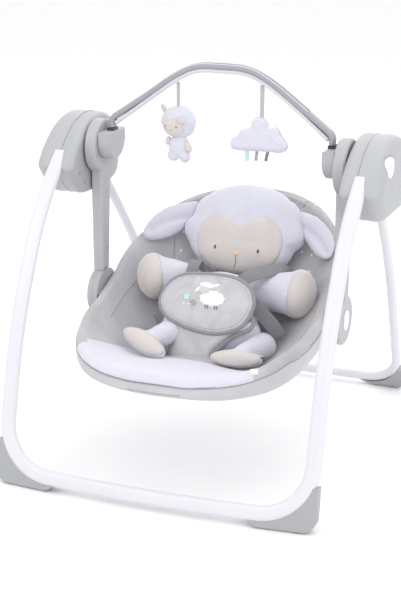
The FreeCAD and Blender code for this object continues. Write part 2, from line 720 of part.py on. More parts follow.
def bowl_solid(inset, rise, skin):
    """The bowl filled in: its outside, or with an inset its hollow."""
    stations = [(share, False) for share in (0.985, 0.94, 0.85, 0.68, 0.45, 0.2)]
    stations += [(share, True) for share in (0.0, 0.2, 0.45, 0.68, 0.85, 0.94, 0.985)]
    sections = []
    for share, back in stations:
        half, y, z = rim_point(share, back, inset)
        depth = dim("bowl_depth") * (1 - share ** 2) + skin
        sections.append(bowl_section(half, y, z, depth, rise))
    return Part.makeLoft(sections, True, False)


def rim_tube_shape(back, grow=0.0):
    """Half of the seat's tube ring, in its own tilted plane."""
    power = BACK_POWER if back else FRONT_POWER
    width = dim("rim_half_width") - RIM_TUBE_INSET
    length = (dim("back_length") if back else dim("front_length")) - RIM_TUBE_INSET
    angle = math.radians(dim("back_angle") if back else -dim("front_angle"))
    way = 1 if back else -1
    tangents = []
    for degrees in (0, 34, 52, 70):
        t = math.radians(degrees)
        x = width * math.cos(t) ** (2 / power)
        run = length * math.sin(t) ** (2 / power)
        slope = Vector((x / width) ** (power - 1) / width, (run / length) ** (power - 1) / length, 0)
        tangents.append((Vector(x, run, 0), slope))
    corners = [Vector(width, 8, 0)]
    for (p, m), (q, n) in zip(tangents, tangents[1:]):
        det = m.x * n.y - m.y * n.x
        a, b = m.dot(p), n.dot(q)
        corners.append(Vector((a * n.y - b * m.y) / det, (m.x * b - n.x * a) / det, 0))
    p, m = tangents[-1]
    corners.append(Vector((m.dot(p) - m.y * length) / m.x, length, 0))
    placed = []
    for corner in corners:
        placed.append(Vector(corner.x, dim("rim_y") + way * corner.y * math.cos(angle),
                             dim("rim_z") + corner.y * math.sin(angle)))
    path = rounded_path(both_sides(placed))
    return swept(path, circle(dim("rim_tube_r") + grow), Vector(1, 0, 0))


def make_seat_frame():
    gap = dim("free_gap")
    wall = dim("tube_wall")
    back = cut("back_tube", feature("back_tube_full", rim_tube_shape(True)),
               [feature("back_tube_inside", rim_tube_shape(True, -wall))])
    front = cut("front_half_tube", feature("front_tube_round", rim_tube_shape(False)),
                [feature("front_half_inside", rim_tube_shape(False, -wall))])
    keep(back, "seat_tube_back")
    keep(front, "seat_tube_front")
    y, z = dim("rim_y"), dim("rim_z")
    disc = cylinder_x("hub_disc", "$arm_foot_r", "$arm_inner + 0.5", "$arm_split - 0.2", "$recline_y",
                      "$recline_z")
    block_outline = [(y - 28, z - 18), (y - 28, z - 2), (y - 5, z + 4), (y + 26, z + 15),
                     (y + 34, z + 10), (y + 34, z - 2), (y + 20, z - 14)]
    block = padded_body("hub_block", "YZ_Plane", block_outline, "194", "$arm_inner + 1")
    round_edges(block, 2, edges_at("X", 194))
    bore = cylinder_x("hub_bore", "$recline_r + 0.06", "203", "$arm_outer", "$recline_y", "$recline_z")
    tubes = [feature("back_clear", rim_tube_shape(True, 0.05)),
             feature("front_clear", rim_tube_shape(False, 0.05))]
    keep_pair(cut("seat_hub_all", fuse("seat_hub_solid", [disc, block]), [bore] + tubes), "seat_hub")
    block_room = box("block_room", (192, y - 30, z - 20), (212, y + 36, z + 18))
    block_room_left = box("block_room_left", (-212, y - 30, z - 20), (-192, y + 36, z + 18))
    shell = cut("sling", feature("bowl_outside", bowl_solid(0, 0, dim("bowl_skin"))),
                [feature("bowl_inside", bowl_solid(dim("rim_wall"), 40, 0)),
                 feature("back_groove", rim_tube_shape(True, gap)),
                 feature("front_groove", rim_tube_shape(False, gap)), block_room, block_room_left])
    keep(shell, "seat_sling")


# middle, half axes and tilt of each soft limb: left arm, right arm, left leg, right leg
LIMBS = [((-142, 0, 300), (24, 36, 22), 55), ((142, 0, 300), (24, 36, 22), 55),
         ((-98, -150, 212), (42, 30, 24), 40), ((70, -146, 214), (42, 30, 24), 40)]


def make_seat_insert():
    """The soft animal that lines the seat, its limbs, and the harness over it."""
    room = feature("bowl_room", bowl_solid(dim("rim_wall") + 0.4, 120, -0.4))
    head_ball = ellipsoid("head_ball", (0, 97, 357), (107, 87, 38), 60)
    head = common("insert_head_in", [head_ball, room])
    keep(head, "insert_head")
    body_ball = ellipsoid("body_ball", (0, -48, 233), (96, 84, 44), 40)
    body = cut("insert_body_in", common("body_in_bowl", [body_ball, room]), [head])
    keep(body, "insert_body")
    limbs = []
    for i, (middle, radii, tilt) in enumerate(LIMBS):
        limb = common("limb_in_%d" % i, [ellipsoid("limb_ball_%d" % i, middle, radii, tilt), room])
        limbs.append(cut("limb_%d" % i, limb, [body, head]))
    group = doc.addObject("Part::Compound", "limbs")
    group.Links = limbs
    keep(group, "insert_limbs")
    pad = cut("harness_pad_all", ellipsoid("pad_ball", (0, -92, 278), (88, 60, 9), 62), [body, head, group])
    keep(pad, "harness_pad")
    crotch = cut("crotch_all", box("crotch_block", (-46, -140, 178), (30, -133, 232)), [body, group, pad])
    keep(crotch, "crotch_strap")
    buckle = cut("buckle_all", box("buckle_block", (-22, -80, 258), (22, -66, 292)), [pad, body])
    keep(buckle, "harness_buckle")
    straps = []
    for i, x in enumerate((-48, 48)):
        block = box("strap_block_%d" % i, (x - 12, -40, 296), (x + 12, -37, 326))
        straps.append(cut("strap_%d" % i, block, [body, head, pad]))
    group_straps = doc.addObject("Part::Compound", "straps")
    group_straps.Links = straps
    keep(group_straps, "harness_straps")


def make_release_buttons():
    button = padded_body("release_button", "YZ_Plane", release_outline(), "$housing_inner - 1.5",
                         "$housing_inner + 6")
    round_edges(button, 1, edges_at("X", dim("housing_inner") - 1.5))
    keep_pair(button, "leg_release")


def release_outline():
    y, z, r = dim("pivot_y") + 18, dim("pivot_z") + 32, 11
    return [(y - r, z), (y, z - r, 1), (y + r, z), (y, z + r, 1)]


def check_and_export():
    doc.recompute()
    for item in doc.Objects:
        bad = [state for state in item.State if state in ("Invalid", "Error")]
        assert not bad, (item.Name, item.State)
    for piece in pieces:
        shape = piece.Shape
        assert not shape.isNull() and shape.isValid(), piece.Label
        assert shape.Solids, piece.Label
        shape.exportStep("parts/%s.step" % piece.Label)
        print("%-24s solids %2d volume %9.0f" % (piece.Label, len(shape.Solids), shape.Volume))
    print(len(pieces), "sub-parts")


outer_full, outer_void = make_housings()
make_control_panel(outer_full, outer_void)
make_housing_insides()
make_release_buttons()
make_front_leg()
make_rear_leg()
make_arms()
make_drive()
make_sockets()
make_toy_bar()
make_toys()
make_seat_frame()
make_seat_insert()
check_and_export()
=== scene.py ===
"""Looks of the baby swing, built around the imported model. Metres, X across, Y to the back, Z up."""
import json
import math

import bmesh
import bpy
import numpy as np
from mathutils import Matrix, Vector, noise
from mathutils.bvhtree import BVHTree
from mathutils.geometry import delaunay_2d_cdt


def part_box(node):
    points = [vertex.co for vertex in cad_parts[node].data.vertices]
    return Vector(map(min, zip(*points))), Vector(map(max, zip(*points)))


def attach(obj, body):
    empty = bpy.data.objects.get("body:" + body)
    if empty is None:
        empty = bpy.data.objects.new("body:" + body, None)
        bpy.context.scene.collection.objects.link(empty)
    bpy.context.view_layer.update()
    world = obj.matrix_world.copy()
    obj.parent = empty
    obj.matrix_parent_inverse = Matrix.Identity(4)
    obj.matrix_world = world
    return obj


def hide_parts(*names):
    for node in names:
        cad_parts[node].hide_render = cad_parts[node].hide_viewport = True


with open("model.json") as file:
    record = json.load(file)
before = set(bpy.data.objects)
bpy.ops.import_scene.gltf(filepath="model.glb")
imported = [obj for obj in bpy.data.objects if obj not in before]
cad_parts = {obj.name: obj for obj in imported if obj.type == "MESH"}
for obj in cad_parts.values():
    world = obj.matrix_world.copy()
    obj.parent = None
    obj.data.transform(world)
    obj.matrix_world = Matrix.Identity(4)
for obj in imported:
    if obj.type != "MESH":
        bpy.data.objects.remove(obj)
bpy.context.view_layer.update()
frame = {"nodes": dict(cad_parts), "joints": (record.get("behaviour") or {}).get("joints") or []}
NODES = frame["nodes"]


# ---------------------------------------------------------------- camera, light, floor

CAMERA_PLACE = Vector((0.8778, -2.4351, 1.0640))
CAMERA_FORWARD = Vector((-0.3359, 0.893, -0.2996)).normalized()
CAMERA_ROLL = 0.009
CAMERA_LENS = 91.53
CAMERA_SHIFT = (-0.0061, 0.0007)


def make_camera():
    right = CAMERA_FORWARD.cross(Vector((0, 0, 1))).normalized()
    up = right.cross(CAMERA_FORWARD)
    turned = math.cos(CAMERA_ROLL) * right + math.sin(CAMERA_ROLL) * up
    up = -math.sin(CAMERA_ROLL) * right + math.cos(CAMERA_ROLL) * up
    data = bpy.data.cameras.new("camera")
    data.lens = CAMERA_LENS
    data.sensor_width = 36
    data.shift_x, data.shift_y = CAMERA_SHIFT
    camera = bpy.data.objects.new("camera", data)
    axes = Matrix((turned, up, -CAMERA_FORWARD)).transposed()
    camera.matrix_world = Matrix.Translation(CAMERA_PLACE) @ axes.to_4x4()
    bpy.context.scene.collection.objects.link(camera)
    bpy.context.scene.camera = camera


def make_light(name, place, target, size, power):
    data = bpy.data.lights.new(name, "AREA")
    data.shape = "SQUARE"
    data.size = size
    data.energy = power
    light = bpy.data.objects.new(name, data)
    light.location = place
    light.rotation_euler = (Vector(target) - Vector(place)).to_track_quat("-Z", "Y").to_euler()
    bpy.context.scene.collection.objects.link(light)


def make_studio():
    bpy.context.scene.view_settings.view_transform = "Standard"
    middle = (0, 0, 0.35)
    make_light("key_light", (-1.6, -2.4, 2.6), middle, 2.2, 19)
    make_light("fill_light", (2.4, -1.6, 1.6), middle, 2.4, 17)
    make_light("top_light", (0.2, 0.6, 3.0), middle, 2.5, 18)
    make_light("back_light", (-0.6, 2.8, 1.8), middle, 2.2, 11)
    world = bpy.data.worlds.new("studio")
    world.use_nodes = True
    world.node_tree.nodes["Background"].inputs["Color"].default_value = (1, 1, 1, 1)
    world.node_tree.nodes["Background"].inputs["Strength"].default_value = 1.04
    bpy.context.scene.world = world
    bpy.ops.mesh.primitive_plane_add(size=40)
    floor = bpy.context.object
    floor.name = "floor"
    floor.data.materials.append(plain("floor_paint", (0.93, 0.93, 0.935), 0.55, mottling=0.01))


# ---------------------------------------------------------------- materials

def new_material(name, roughness):
    """A material with object coordinates ready: returns its nodes, links, shader and coordinates."""
    material = bpy.data.materials.new(name)
    material.use_nodes = True
    nodes, links = material.node_tree.nodes, material.node_tree.links
    shader = nodes["Principled BSDF"]
    shader.inputs["Roughness"].default_value = roughness
    place = nodes.new("ShaderNodeTexCoord").outputs["Object"]
    return material, nodes, links, shader, place


def noise_node(nodes, links, place, scale, detail=3.0, distortion=0.0):
    node = nodes.new("ShaderNodeTexNoise")
    node.inputs["Scale"].default_value = scale
    node.inputs["Detail"].default_value = detail
    node.inputs["Distortion"].default_value = distortion
    links.new(place, node.inputs["Vector"])
    return node.outputs["Fac"]


def ramp_node(nodes, links, value, low_colour, high_colour, low=0.3, high=0.7):
    ramp = nodes.new("ShaderNodeValToRGB")
    ramp.color_ramp.elements[0].position = low
    ramp.color_ramp.elements[1].position = high
    ramp.color_ramp.elements[0].color = (*low_colour, 1)
    ramp.color_ramp.elements[1].color = (*high_colour, 1)
    links.new(value, ramp.inputs["Fac"])
    return ramp.outputs["Color"]


def bump_node(nodes, links, height, strength, distance, normal=None):
    bump = nodes.new("ShaderNodeBump")
    bump.inputs["Strength"].default_value = strength
    bump.inputs["Distance"].default_value = distance
    links.new(height, bump.inputs["Height"])
    if normal is not None:
        links.new(normal, bump.inputs["Normal"])
    return bump.outputs["Normal"]


def shade(colour, factor):
    return tuple(min(c * factor, 1.0) for c in colour)


def range_node(nodes, links, value, low, high):
    node = nodes.new("ShaderNodeMapRange")
    node.inputs["To Min"].default_value = low
    node.inputs["To Max"].default_value = high
    links.new(value, node.inputs["Value"])
    return node.outputs["Result"]


def plain(name, colour, roughness, mottling=0.03, grain=900.0, depth=0.00012, coat=0.0, metal=0.0):
    """Moulded plastic, rubber or paint: faint mottling, a fine grain, uneven gloss."""
    material, nodes, links, shader, place = new_material(name, roughness)
    slow = noise_node(nodes, links, place, 9.0)
    links.new(ramp_node(nodes, links, slow, shade(colour, 1 - mottling), shade(colour, 1 + mottling)),
              shader.inputs["Base Color"])
    fine = noise_node(nodes, links, place, grain, 2.0)
    links.new(range_node(nodes, links, fine, roughness * 0.85, min(roughness * 1.15, 1)),
              shader.inputs["Roughness"])
    links.new(bump_node(nodes, links, fine, 0.35, depth), shader.inputs["Normal"])
    shader.inputs["Coat Weight"].default_value = coat
    shader.inputs["Coat Roughness"].default_value = 0.2
    shader.inputs["Metallic"].default_value = metal
    return material


def plush(name, colour, pile=420.0, depth=0.0007, nap=26.0, sheen=0.55, variation=0.06):
    """Short pile fabric: soft patches where the nap lies over, a fine fuzzy pile and sheen."""
    material, nodes, links, shader, place = new_material(name, 0.95)
    patches = noise_node(nodes, links, place, nap, 5.0, 0.6)
    fuzz = noise_node(nodes, links, place, pile, 4.0)
    blend = nodes.new("ShaderNodeMix")
    blend.data_type = "FLOAT"
    blend.inputs["Factor"].default_value = 0.35
    links.new(patches, blend.inputs["A"])
    links.new(fuzz, blend.inputs["B"])
    links.new(ramp_node(nodes, links, blend.outputs["Result"], shade(colour, 1 - variation),
                        shade(colour, 1 + variation * 0.6), 0.36, 0.64), shader.inputs["Base Color"])
    coarse = bump_node(nodes, links, patches, 0.25, 0.0015)
    links.new(bump_node(nodes, links, fuzz, 0.55, depth, coarse), shader.inputs["Normal"])
    shader.inputs["Sheen Weight"].default_value = sheen
    shader.inputs["Sheen Roughness"].default_value = 0.45
    shader.inputs["Specular IOR Level"].default_value = 0.15
    return material


def woven(name, colour, thread=0.0009, depth=0.0004, variation=0.10):
    """Plain weave or knitted tape: two crossing sets of threads, worked out in object space."""
    material, nodes, links, shader, place = new_material(name, 0.8)
    waves = []
    for direction in ("X", "Z"):
        wave = nodes.new("ShaderNodeTexWave")
        wave.bands_direction = direction
        wave.inputs["Scale"].default_value = 0.31 / thread
        wave.inputs["Distortion"].default_value = 0.4
        links.new(place, wave.inputs["Vector"])
        waves.append(wave.outputs["Fac"])
    cross = nodes.new("ShaderNodeMath")
    cross.operation = "MULTIPLY"
    links.new(waves[0], cross.inputs[0])
    links.new(waves[1], cross.inputs[1])
    links.new(ramp_node(nodes, links, cross.outputs["Value"], shade(colour, 1 - variation),
                        shade(colour, 1 + variation), 0.0, 0.6), shader.inputs["Base Color"])
    links.new(bump_node(nodes, links, cross.outputs["Value"], 0.6, depth), shader.inputs["Normal"])
    shader.inputs["Sheen Weight"].default_value = 0.25
    shader.inputs["Specular IOR Level"].default_value = 0.25
    return material


def steel(name, colour, roughness=0.35):
    """Turned or plated metal with fine streaks."""
    material, nodes, links, shader, place = new_material(name, roughness)
    streaks = noise_node(nodes, links, place, 260.0, 2.0, 2.0)
    links.new(ramp_node(nodes, links, streaks, shade(colour, 0.9), shade(colour, 1.06)),
              shader.inputs["Base Color"])
    links.new(range_node(nodes, links, streaks, roughness * 0.7, roughness * 1.3),
              shader.inputs["Roughness"])
    links.new(bump_node(nodes, links, streaks, 0.15, 0.0001), shader.inputs["Normal"])
    shader.inputs["Metallic"].default_value = 1.0
    return material


def make_materials():
    return {
        "grey_plastic": plain("grey_moulded_plastic", (0.425, 0.432, 0.452), 0.42, 0.015, 700, 0.00010),
        "foot_plastic": plain("foot_moulded_plastic", (0.375, 0.38, 0.40), 0.45, 0.02, 700, 0.00012),
        "white_plastic": plain("white_key_plastic", (0.86, 0.865, 0.88), 0.3, 0.01, 500, 0.00005, 0.2),
        "bezel_plastic": plain("bezel_plastic", (0.40, 0.41, 0.44), 0.4, 0.02),
        "white_tube": plain("white_powder_coat", (0.70, 0.70, 0.745), 0.34, 0.012, 520, 0.00008, 0.25),
        "ring_steel": plain("ring_powder_coat", (0.6, 0.6, 0.62), 0.4, 0.02, 520, 0.00008, 0.1),
        "pad_rubber": plain("foot_rubber", (0.33, 0.335, 0.35), 0.75, 0.05, 350, 0.0003),
        "steel": steel("zinc_steel", (0.62, 0.62, 0.64)),
        "magnet": steel("nickel", (0.50, 0.50, 0.53), 0.25),
        "bearing_plastic": plain("acetal", (0.78, 0.78, 0.74), 0.35),
        "board": plain("circuit_laminate", (0.03, 0.17, 0.06), 0.35, 0.1, 160, 0.0002, 0.3),
        "speaker_frame": plain("speaker_black", (0.02, 0.02, 0.022), 0.5),
        "copper": steel("enamelled_copper", (0.62, 0.30, 0.14), 0.3),
        "dark_plastic": plain("dark_moulded_plastic", (0.05, 0.05, 0.055), 0.45, 0.05),
        "silver_bar": plain("silver_bar_plastic", (0.34, 0.335, 0.375), 0.36, 0.02, 700, 0.00008, 0.1),
        # The white bar plastic is also the colour of the painted highlight line along the toy bar's edge.
        "bar_liner": plain("white_bar_plastic_and_highlight", (0.62, 0.62, 0.67), 0.4, 0.02),
        "grey_velour": plush("grey_velour", (0.47, 0.467, 0.487), 520, 0.0005, 15, 0.5, 0.15),
        "pad_velour": plush("pale_grey_velour", (0.54, 0.536, 0.558), 520, 0.0005, 34, 0.5, 0.12),
        "grey_skirt": plush("pale_grey_knit", (0.53, 0.53, 0.555), 700, 0.0004, 30, 0.4, 0.04),
        "grey_liner": plush("grey_liner_knit", (0.47, 0.475, 0.49), 700, 0.0004, 16, 0.35, 0.05),
        "white_plush": plush("white_plush", (0.65, 0.645, 0.735), 420, 0.0009, 30, 0.7, 0.03),
        "beige_plush": plush("beige_plush", (0.64, 0.595, 0.575), 460, 0.0006, 30, 0.5, 0.04),
        # The dark piping colour is also used for lines of painted shade in the toy bar's grooves.
        "piping_and_groove_shade": woven("dark_piping_and_groove_shade", (0.30, 0.305, 0.32)),
        "webbing": woven("grey_webbing", (0.26, 0.262, 0.275), 0.0014, 0.0006, 0.2),
        "thread_dark": woven("grey_thread", (0.17, 0.16, 0.165), 0.0005, 0.0002),
        "thread_brown": woven("brown_thread", (0.16, 0.12, 0.11), 0.0005, 0.0002),
        "thread_white": plush("white_thread", (0.86, 0.86, 0.90), 900, 0.0003, 60, 0.3, 0.03),
        "peach": plush("peach_thread", (0.85, 0.58, 0.42), 900, 0.0003, 60, 0.3, 0.04),
        "mint": plush("mint_thread", (0.55, 0.76, 0.72), 900, 0.0003, 60, 0.3, 0.06),
        "tan": plush("tan_thread", (0.50, 0.42, 0.38), 900, 0.0003, 60, 0.3, 0.06),
        "pale_blue": plush("pale_blue_print", (0.70, 0.78, 0.88), 700, 0.0003, 60, 0.3, 0.05),
        "brown_tape": woven("brown_tape", (0.30, 0.24, 0.22)),
        "grey_tape": woven("grey_tape", (0.42, 0.43, 0.45)),
        "white_tape": woven("white_tape", (0.84, 0.86, 0.86)),
        "loop_tape": woven("loop_tape", (0.50, 0.515, 0.535)),
        "green_print": plush("green_print", (0.10, 0.50, 0.22), 900, 0.0002, 60, 0.1, 0.1),
    }


# ---------------------------------------------------------------- mesh tools

def mesh_object(name, points, faces, material):
    """A smooth-shaded mesh with its faces turned outwards."""
    mesh = bpy.data.meshes.new(name)
    mesh.from_pydata([tuple(p) for p in points], [], faces)
    tidy = bmesh.new()
    tidy.from_mesh(mesh)
    bmesh.ops.recalc_face_normals(tidy, faces=tidy.faces)
    tidy.to_mesh(mesh)
    tidy.free()
    piece = bpy.data.objects.new(name, mesh)
    bpy.context.scene.collection.objects.link(piece)
    mesh.materials.append(MATERIAL[material])
    mesh.polygons.foreach_set("use_smooth", [True] * len(mesh.polygons))
    return piece


def joined(name, pieces):
    """Several mesh pieces of one kind as one piece, their materials kept."""
    bpy.ops.object.select_all(action="DESELECT")
    for piece in pieces:
        piece.select_set(True)
    bpy.context.view_layer.objects.active = pieces[0]
    bpy.ops.object.join()
    pieces[0].name = name
    return pieces[0]


def apply_modifiers(piece):
    bpy.context.view_layer.update()
    shape = piece.evaluated_get(bpy.context.evaluated_depsgraph_get())
    piece.data = bpy.data.meshes.new_from_object(shape)
    piece.modifiers.clear()
    piece.data.polygons.foreach_set("use_smooth", [True] * len(piece.data.polygons))


def subdivide(piece, levels=1):
    piece.modifiers.new("subsurf", "SUBSURF").levels = levels
    piece.modifiers["subsurf"].render_levels = levels


def smooth_path(points, closed=False, steps=8):
    """Catmull-Rom points through the given ones."""
    points = [Vector(p) for p in points]
    count = len(points)
    made = []
    for i in range(count if closed else count - 1):
        if closed:
            p0, p1, p2, p3 = (points[(i + k) % count] for k in (-1, 0, 1, 2))
        else:
            p0, p1 = points[max(i - 1, 0)], points[i]
            p2, p3 = points[i + 1], points[min(i + 2, count - 1)]
        for k in range(steps):
            t = k / steps
            made.append(0.5 * (2 * p1 + (p2 - p0) * t + (2 * p0 - 5 * p1 + 4 * p2 - p3) * t ** 2
                               + (3 * p1 - p0 - 3 * p2 + p3) * t ** 3))
    if not closed:
        made.append(points[-1])
    return made


def smooth_flat(outline, closed=False, steps=8):
    """Catmull-Rom points of a drawn line, as (u, v) pairs."""
    return [(p.x, p.y) for p in smooth_path([(u, v, 0) for u, v in outline], closed, steps)]


def tangents_of(points, closed=False):
    count = len(points)
    made = []
    for i in range(count):
        before = points[i - 1] if closed or i else points[0]
        after = points[(i + 1) % count] if closed or i < count - 1 else points[-1]
        made.append((after - before).normalized())
    return made


def skin_rings(name, rings, material, closed_along=False):
    """Faces between equal rings of points; open ends are capped."""
    size = len(rings[0])
    points = [p for ring in rings for p in ring]
    faces = []
    for i in range(len(rings) if closed_along else len(rings) - 1):
        a, b = i * size, ((i + 1) % len(rings)) * size
        for k in range(size):
            faces.append((a + k, a + (k + 1) % size, b + (k + 1) % size, b + k))
    if not closed_along:
        faces.append(tuple(range(size)))
        faces.append(tuple(range((len(rings) - 1) * size, len(rings) * size)))
    return mesh_object(name, points, faces, material)


def tube(name, points, radius, material, closed=False, sides=8):
    """A round cord of fabric or thread along points."""
    points = [Vector(p) for p in points]
    along = tangents_of(points, closed)
    normal = along[0].orthogonal().normalized()
    rings = []
    for point, tangent in zip(points, along):
        normal = (normal - tangent * normal.dot(tangent)).normalized()
        side = tangent.cross(normal)
        turn = [2 * math.pi * k / sides for k in range(sides)]
        rings.append([point + radius * (math.cos(a) * normal + math.sin(a) * side) for a in turn])
    return skin_rings(name, rings, material, closed)


def ribbon(name, points, normals, width, thickness, material):
    """A flat strap with rounded edges, its face along the normals."""
    points = [Vector(p) for p in points]
    along = tangents_of(points)
    rings = []
    for point, tangent, normal in zip(points, along, normals):
        face = Vector(normal).normalized()
        side = tangent.cross(face).normalized()
        face = side.cross(tangent).normalized()
        half, thick = width / 2, thickness / 2
        outline = [(half - thick, thick), (half - thick * 0.3, thick * 0.7), (half, 0),
                   (half - thick * 0.3, -thick * 0.7), (half - thick, -thick)]
        outline += [(-a, b) for a, b in reversed(outline)]
        rings.append([point + a * side + b * face for a, b in outline])
    return skin_rings(name, rings, material)


def bvh_of(*pieces):
    """A tree of the pieces' final surfaces, for laying things on them."""
    points, faces = [], []
    graph = bpy.context.evaluated_depsgraph_get()
    graph.update()
    for piece in pieces:
        shape = piece.evaluated_get(graph)
        mesh = shape.to_mesh()
        start = len(points)
        points += [piece.matrix_world @ v.co for v in mesh.vertices]
        faces += [tuple(start + k for k in p.vertices) for p in mesh.polygons]
        shape.to_mesh_clear()
    return BVHTree.FromPolygons(points, faces)


class View:
    """A flat drawing surface in space: u and v along it, dropped along its normal onto a surface."""

    def __init__(self, origin, u, v, tree, reach=0.3):
        self.origin, self.u, self.v = Vector(origin), Vector(u).normalized(), Vector(v).normalized()
        self.normal = self.u.cross(self.v).normalized()
        self.v = self.normal.cross(self.u)
        self.tree, self.reach = tree, reach

    def drop(self, u, v):
        """The surface point and normal under a drawing point."""
        start = self.origin + u * self.u + v * self.v + self.reach * self.normal
        hit, normal, _, _ = self.tree.ray_cast(start, -self.normal)
        if hit is None:
            hit, normal, _, _ = self.tree.find_nearest(start - self.reach * self.normal)
        if normal.dot(self.normal) < 0:
            normal = -normal
        return hit, normal


def resampled(outline, spacing, closed=True):
    """Points at an even spacing along a 2-D outline."""
    points = [Vector(p) for p in outline]
    if closed:
        points.append(points[0])
    lengths = [0.0]
    for a, b in zip(points, points[1:]):
        lengths.append(lengths[-1] + (b - a).length)
    count = max(int(round(lengths[-1] / spacing)), 3)
    made, k = [], 0
    for i in range(count if closed else count + 1):
        want = lengths[-1] * i / count
        while k < len(lengths) - 2 and lengths[k + 1] < want:
            k += 1
        share = (want - lengths[k]) / max(lengths[k + 1] - lengths[k], 1e-9)
        made.append(points[k].lerp(points[k + 1], share))
    return made


def inside(point, outline):
    """Whether a 2-D point is inside a closed outline."""
    x, y = point
    odd = False
    for a, b in zip(outline, outline[1:] + outline[:1]):
        if (a[1] > y) != (b[1] > y) and x < (b[0] - a[0]) * (y - a[1]) / (b[1] - a[1]) + a[0]:
            odd = not odd
    return odd


def filled(outline, spacing, steps, clear):
    """A smoothed outline filled with triangles: the flat points, how far each is from the edge, the faces
    and the directed edges along the outline. No inner point comes nearer the edge than clear spacings."""
    rim = [(p.x, p.y) for p in resampled(smooth_flat(outline, True, steps), spacing)]
    rim_points = np.array(rim)
    low, high = rim_points.min(0), rim_points.max(0)
    grid = []
    for i, u in enumerate(np.arange(low[0], high[0], spacing)):
        for v in np.arange(low[1] + (i % 2) * spacing / 2, high[1], spacing):
            if inside((u, v), rim) and np.hypot(*(rim_points - (u, v)).T).min() > spacing * clear:
                grid.append((float(u), float(v)))
    edges = [(k, (k + 1) % len(rim)) for k in range(len(rim))]
    made = delaunay_2d_cdt([Vector(p) for p in rim + grid], edges, [list(range(len(rim)))], 1, 1e-7)
    flat, faces = made[0], [tuple(f) for f in made[2]]
    away = [float(np.hypot(*(rim_points - (p.x, p.y)).T).min()) for p in flat]
    directed = {(a, b) for face in faces for a, b in zip(face, face[1:] + face[:1])}
    return flat, away, faces, [(a, b) for a, b in directed if (b, a) not in directed]


def patch(name, view, outline, material, lift=0.0012, spacing=0.003, crown=0.0, edge=0.002, steps=6):
    """A piece of cloth sewn onto a surface: the outline filled, laid on the surface and raised by lift,
    with rounded edges and, in the middle, a crown."""
    flat, away, faces, sides = filled(outline, spacing, steps, 0.6)
    widest = max(away + [1e-6])
    top, base = [], []
    for p, distance in zip(flat, away):
        hit, normal = view.drop(p.x, p.y)
        soft = math.sin(min(distance / edge, 1.0) * math.pi / 2)
        height = lift * (0.25 + 0.75 * soft) + crown * math.sin(distance / widest * math.pi / 2)
        top.append(hit + normal * height)
        base.append(hit - normal * 0.0012)
    count = len(flat)
    solid = faces + [tuple(count + k for k in reversed(f)) for f in faces]
    solid += [(b, a, count + a, count + b) for a, b in sides]
    return mesh_object(name, top + base, solid, material)


def line_on(name, view, points, radius, material, closed=False, lift=0.0, steps=6, spacing=0.002):
    """A seam, cord or thread laid along a drawn line on a surface."""
    path = []
    for p in resampled(smooth_flat(points, closed, steps), spacing, closed):
        hit, normal = view.drop(p.x, p.y)
        path.append(hit + normal * lift)
    return tube(name, path, radius, material, closed)


def stitches_on(name, view, points, material, closed=False, length=0.0028, gap=0.0018, radius=0.00028):
    """A row of separate stitches along a drawn line."""
    flat = resampled(smooth_flat(points, closed, 6), (length + gap) / 4, closed)
    made = []
    for i in range(0, len(flat) - 3, 4):
        path = []
        for k in (0, 1, 2):
            hit, normal = view.drop(flat[i + k].x, flat[i + k].y)
            path.append(hit + normal * (radius if k == 1 else 0))
        made.append(tube(name, path, radius, material, False, 5))
    return joined(name, made)


def oval(u, v, half_u, half_v, tilt=0.0, count=20):
    """A drawn oval, turned by tilt."""
    made = []
    for k in range(count):
        a = 2 * math.pi * k / count
        x, y = half_u * math.cos(a), half_v * math.sin(a)
        made.append((u + x * math.cos(tilt) - y * math.sin(tilt),
                     v + x * math.sin(tilt) + y * math.cos(tilt)))
    return made


def ball(shape, segments=32, rings=20):
    """A unit ball put through a matrix."""
    bpy.ops.mesh.primitive_uv_sphere_add(segments=segments, ring_count=rings)
    made = bpy.context.object
    made.data.transform(shape)
    return made


def grown(name, balls, material, voxel, smooth):
    """Several balls grown into one stuffed skin."""
    piece = joined(name, balls)
    piece.location = (0, 0, 0)
    remesh = piece.modifiers.new("remesh", "REMESH")
    remesh.mode = "VOXEL"
    remesh.voxel_size = voxel
    soften = piece.modifiers.new("soften", "SMOOTH")
    soften.factor, soften.iterations = 0.5, smooth
    apply_modifiers(piece)
    piece.data.materials.clear()
    piece.data.materials.append(MATERIAL[material])
    return piece


def blob(name, balls, material, voxel=0.004, smooth=8):
    """A stuffed shape. A ball is (centre, radii, degrees turned about X)."""
    made = [ball(Matrix.Translation(Vector(centre)) @ Matrix.Rotation(math.radians(turn), 4, "X")
                 @ Matrix.Diagonal((*radii, 1))) for centre, radii, turn in balls]
    return grown(name, made, material, voxel, smooth)


def puff(piece, pressure=4.0, cap=0.006, frames=20, shrink=-0.06):
    """Cloth simulation: the skin is blown up from inside and creases a little."""
    rest = [v.co.copy() for v in piece.data.vertices]
    cloth = piece.modifiers.new("cloth", "CLOTH")
    settings = cloth.settings
    settings.use_pressure = True
    settings.uniform_pressure_force = pressure
    settings.effector_weights.gravity = 0
    settings.quality = 5
    settings.mass = 0.25
    settings.tension_stiffness = 12
    settings.compression_stiffness = 12
    settings.bending_stiffness = 0.4
    settings.shrink_min = shrink
    cloth.collision_settings.use_collision = False
    cloth.point_cache.frame_start, cloth.point_cache.frame_end = 1, frames
    scene = bpy.context.scene
    for step in range(1, frames + 1):
        scene.frame_set(step)
    shape = piece.evaluated_get(bpy.context.evaluated_depsgraph_get())
    moved = [v.co.copy() for v in shape.data.vertices]
    piece.modifiers.remove(cloth)
    for vertex, start, end in zip(piece.data.vertices, rest, moved):
        step = end - start
        if step.length > cap:
            step *= cap / step.length
        vertex.co = start + step
    scene.frame_set(1)
    even = piece.modifiers.new("even", "SMOOTH")
    even.factor, even.iterations = 0.5, 6
    apply_modifiers(piece)


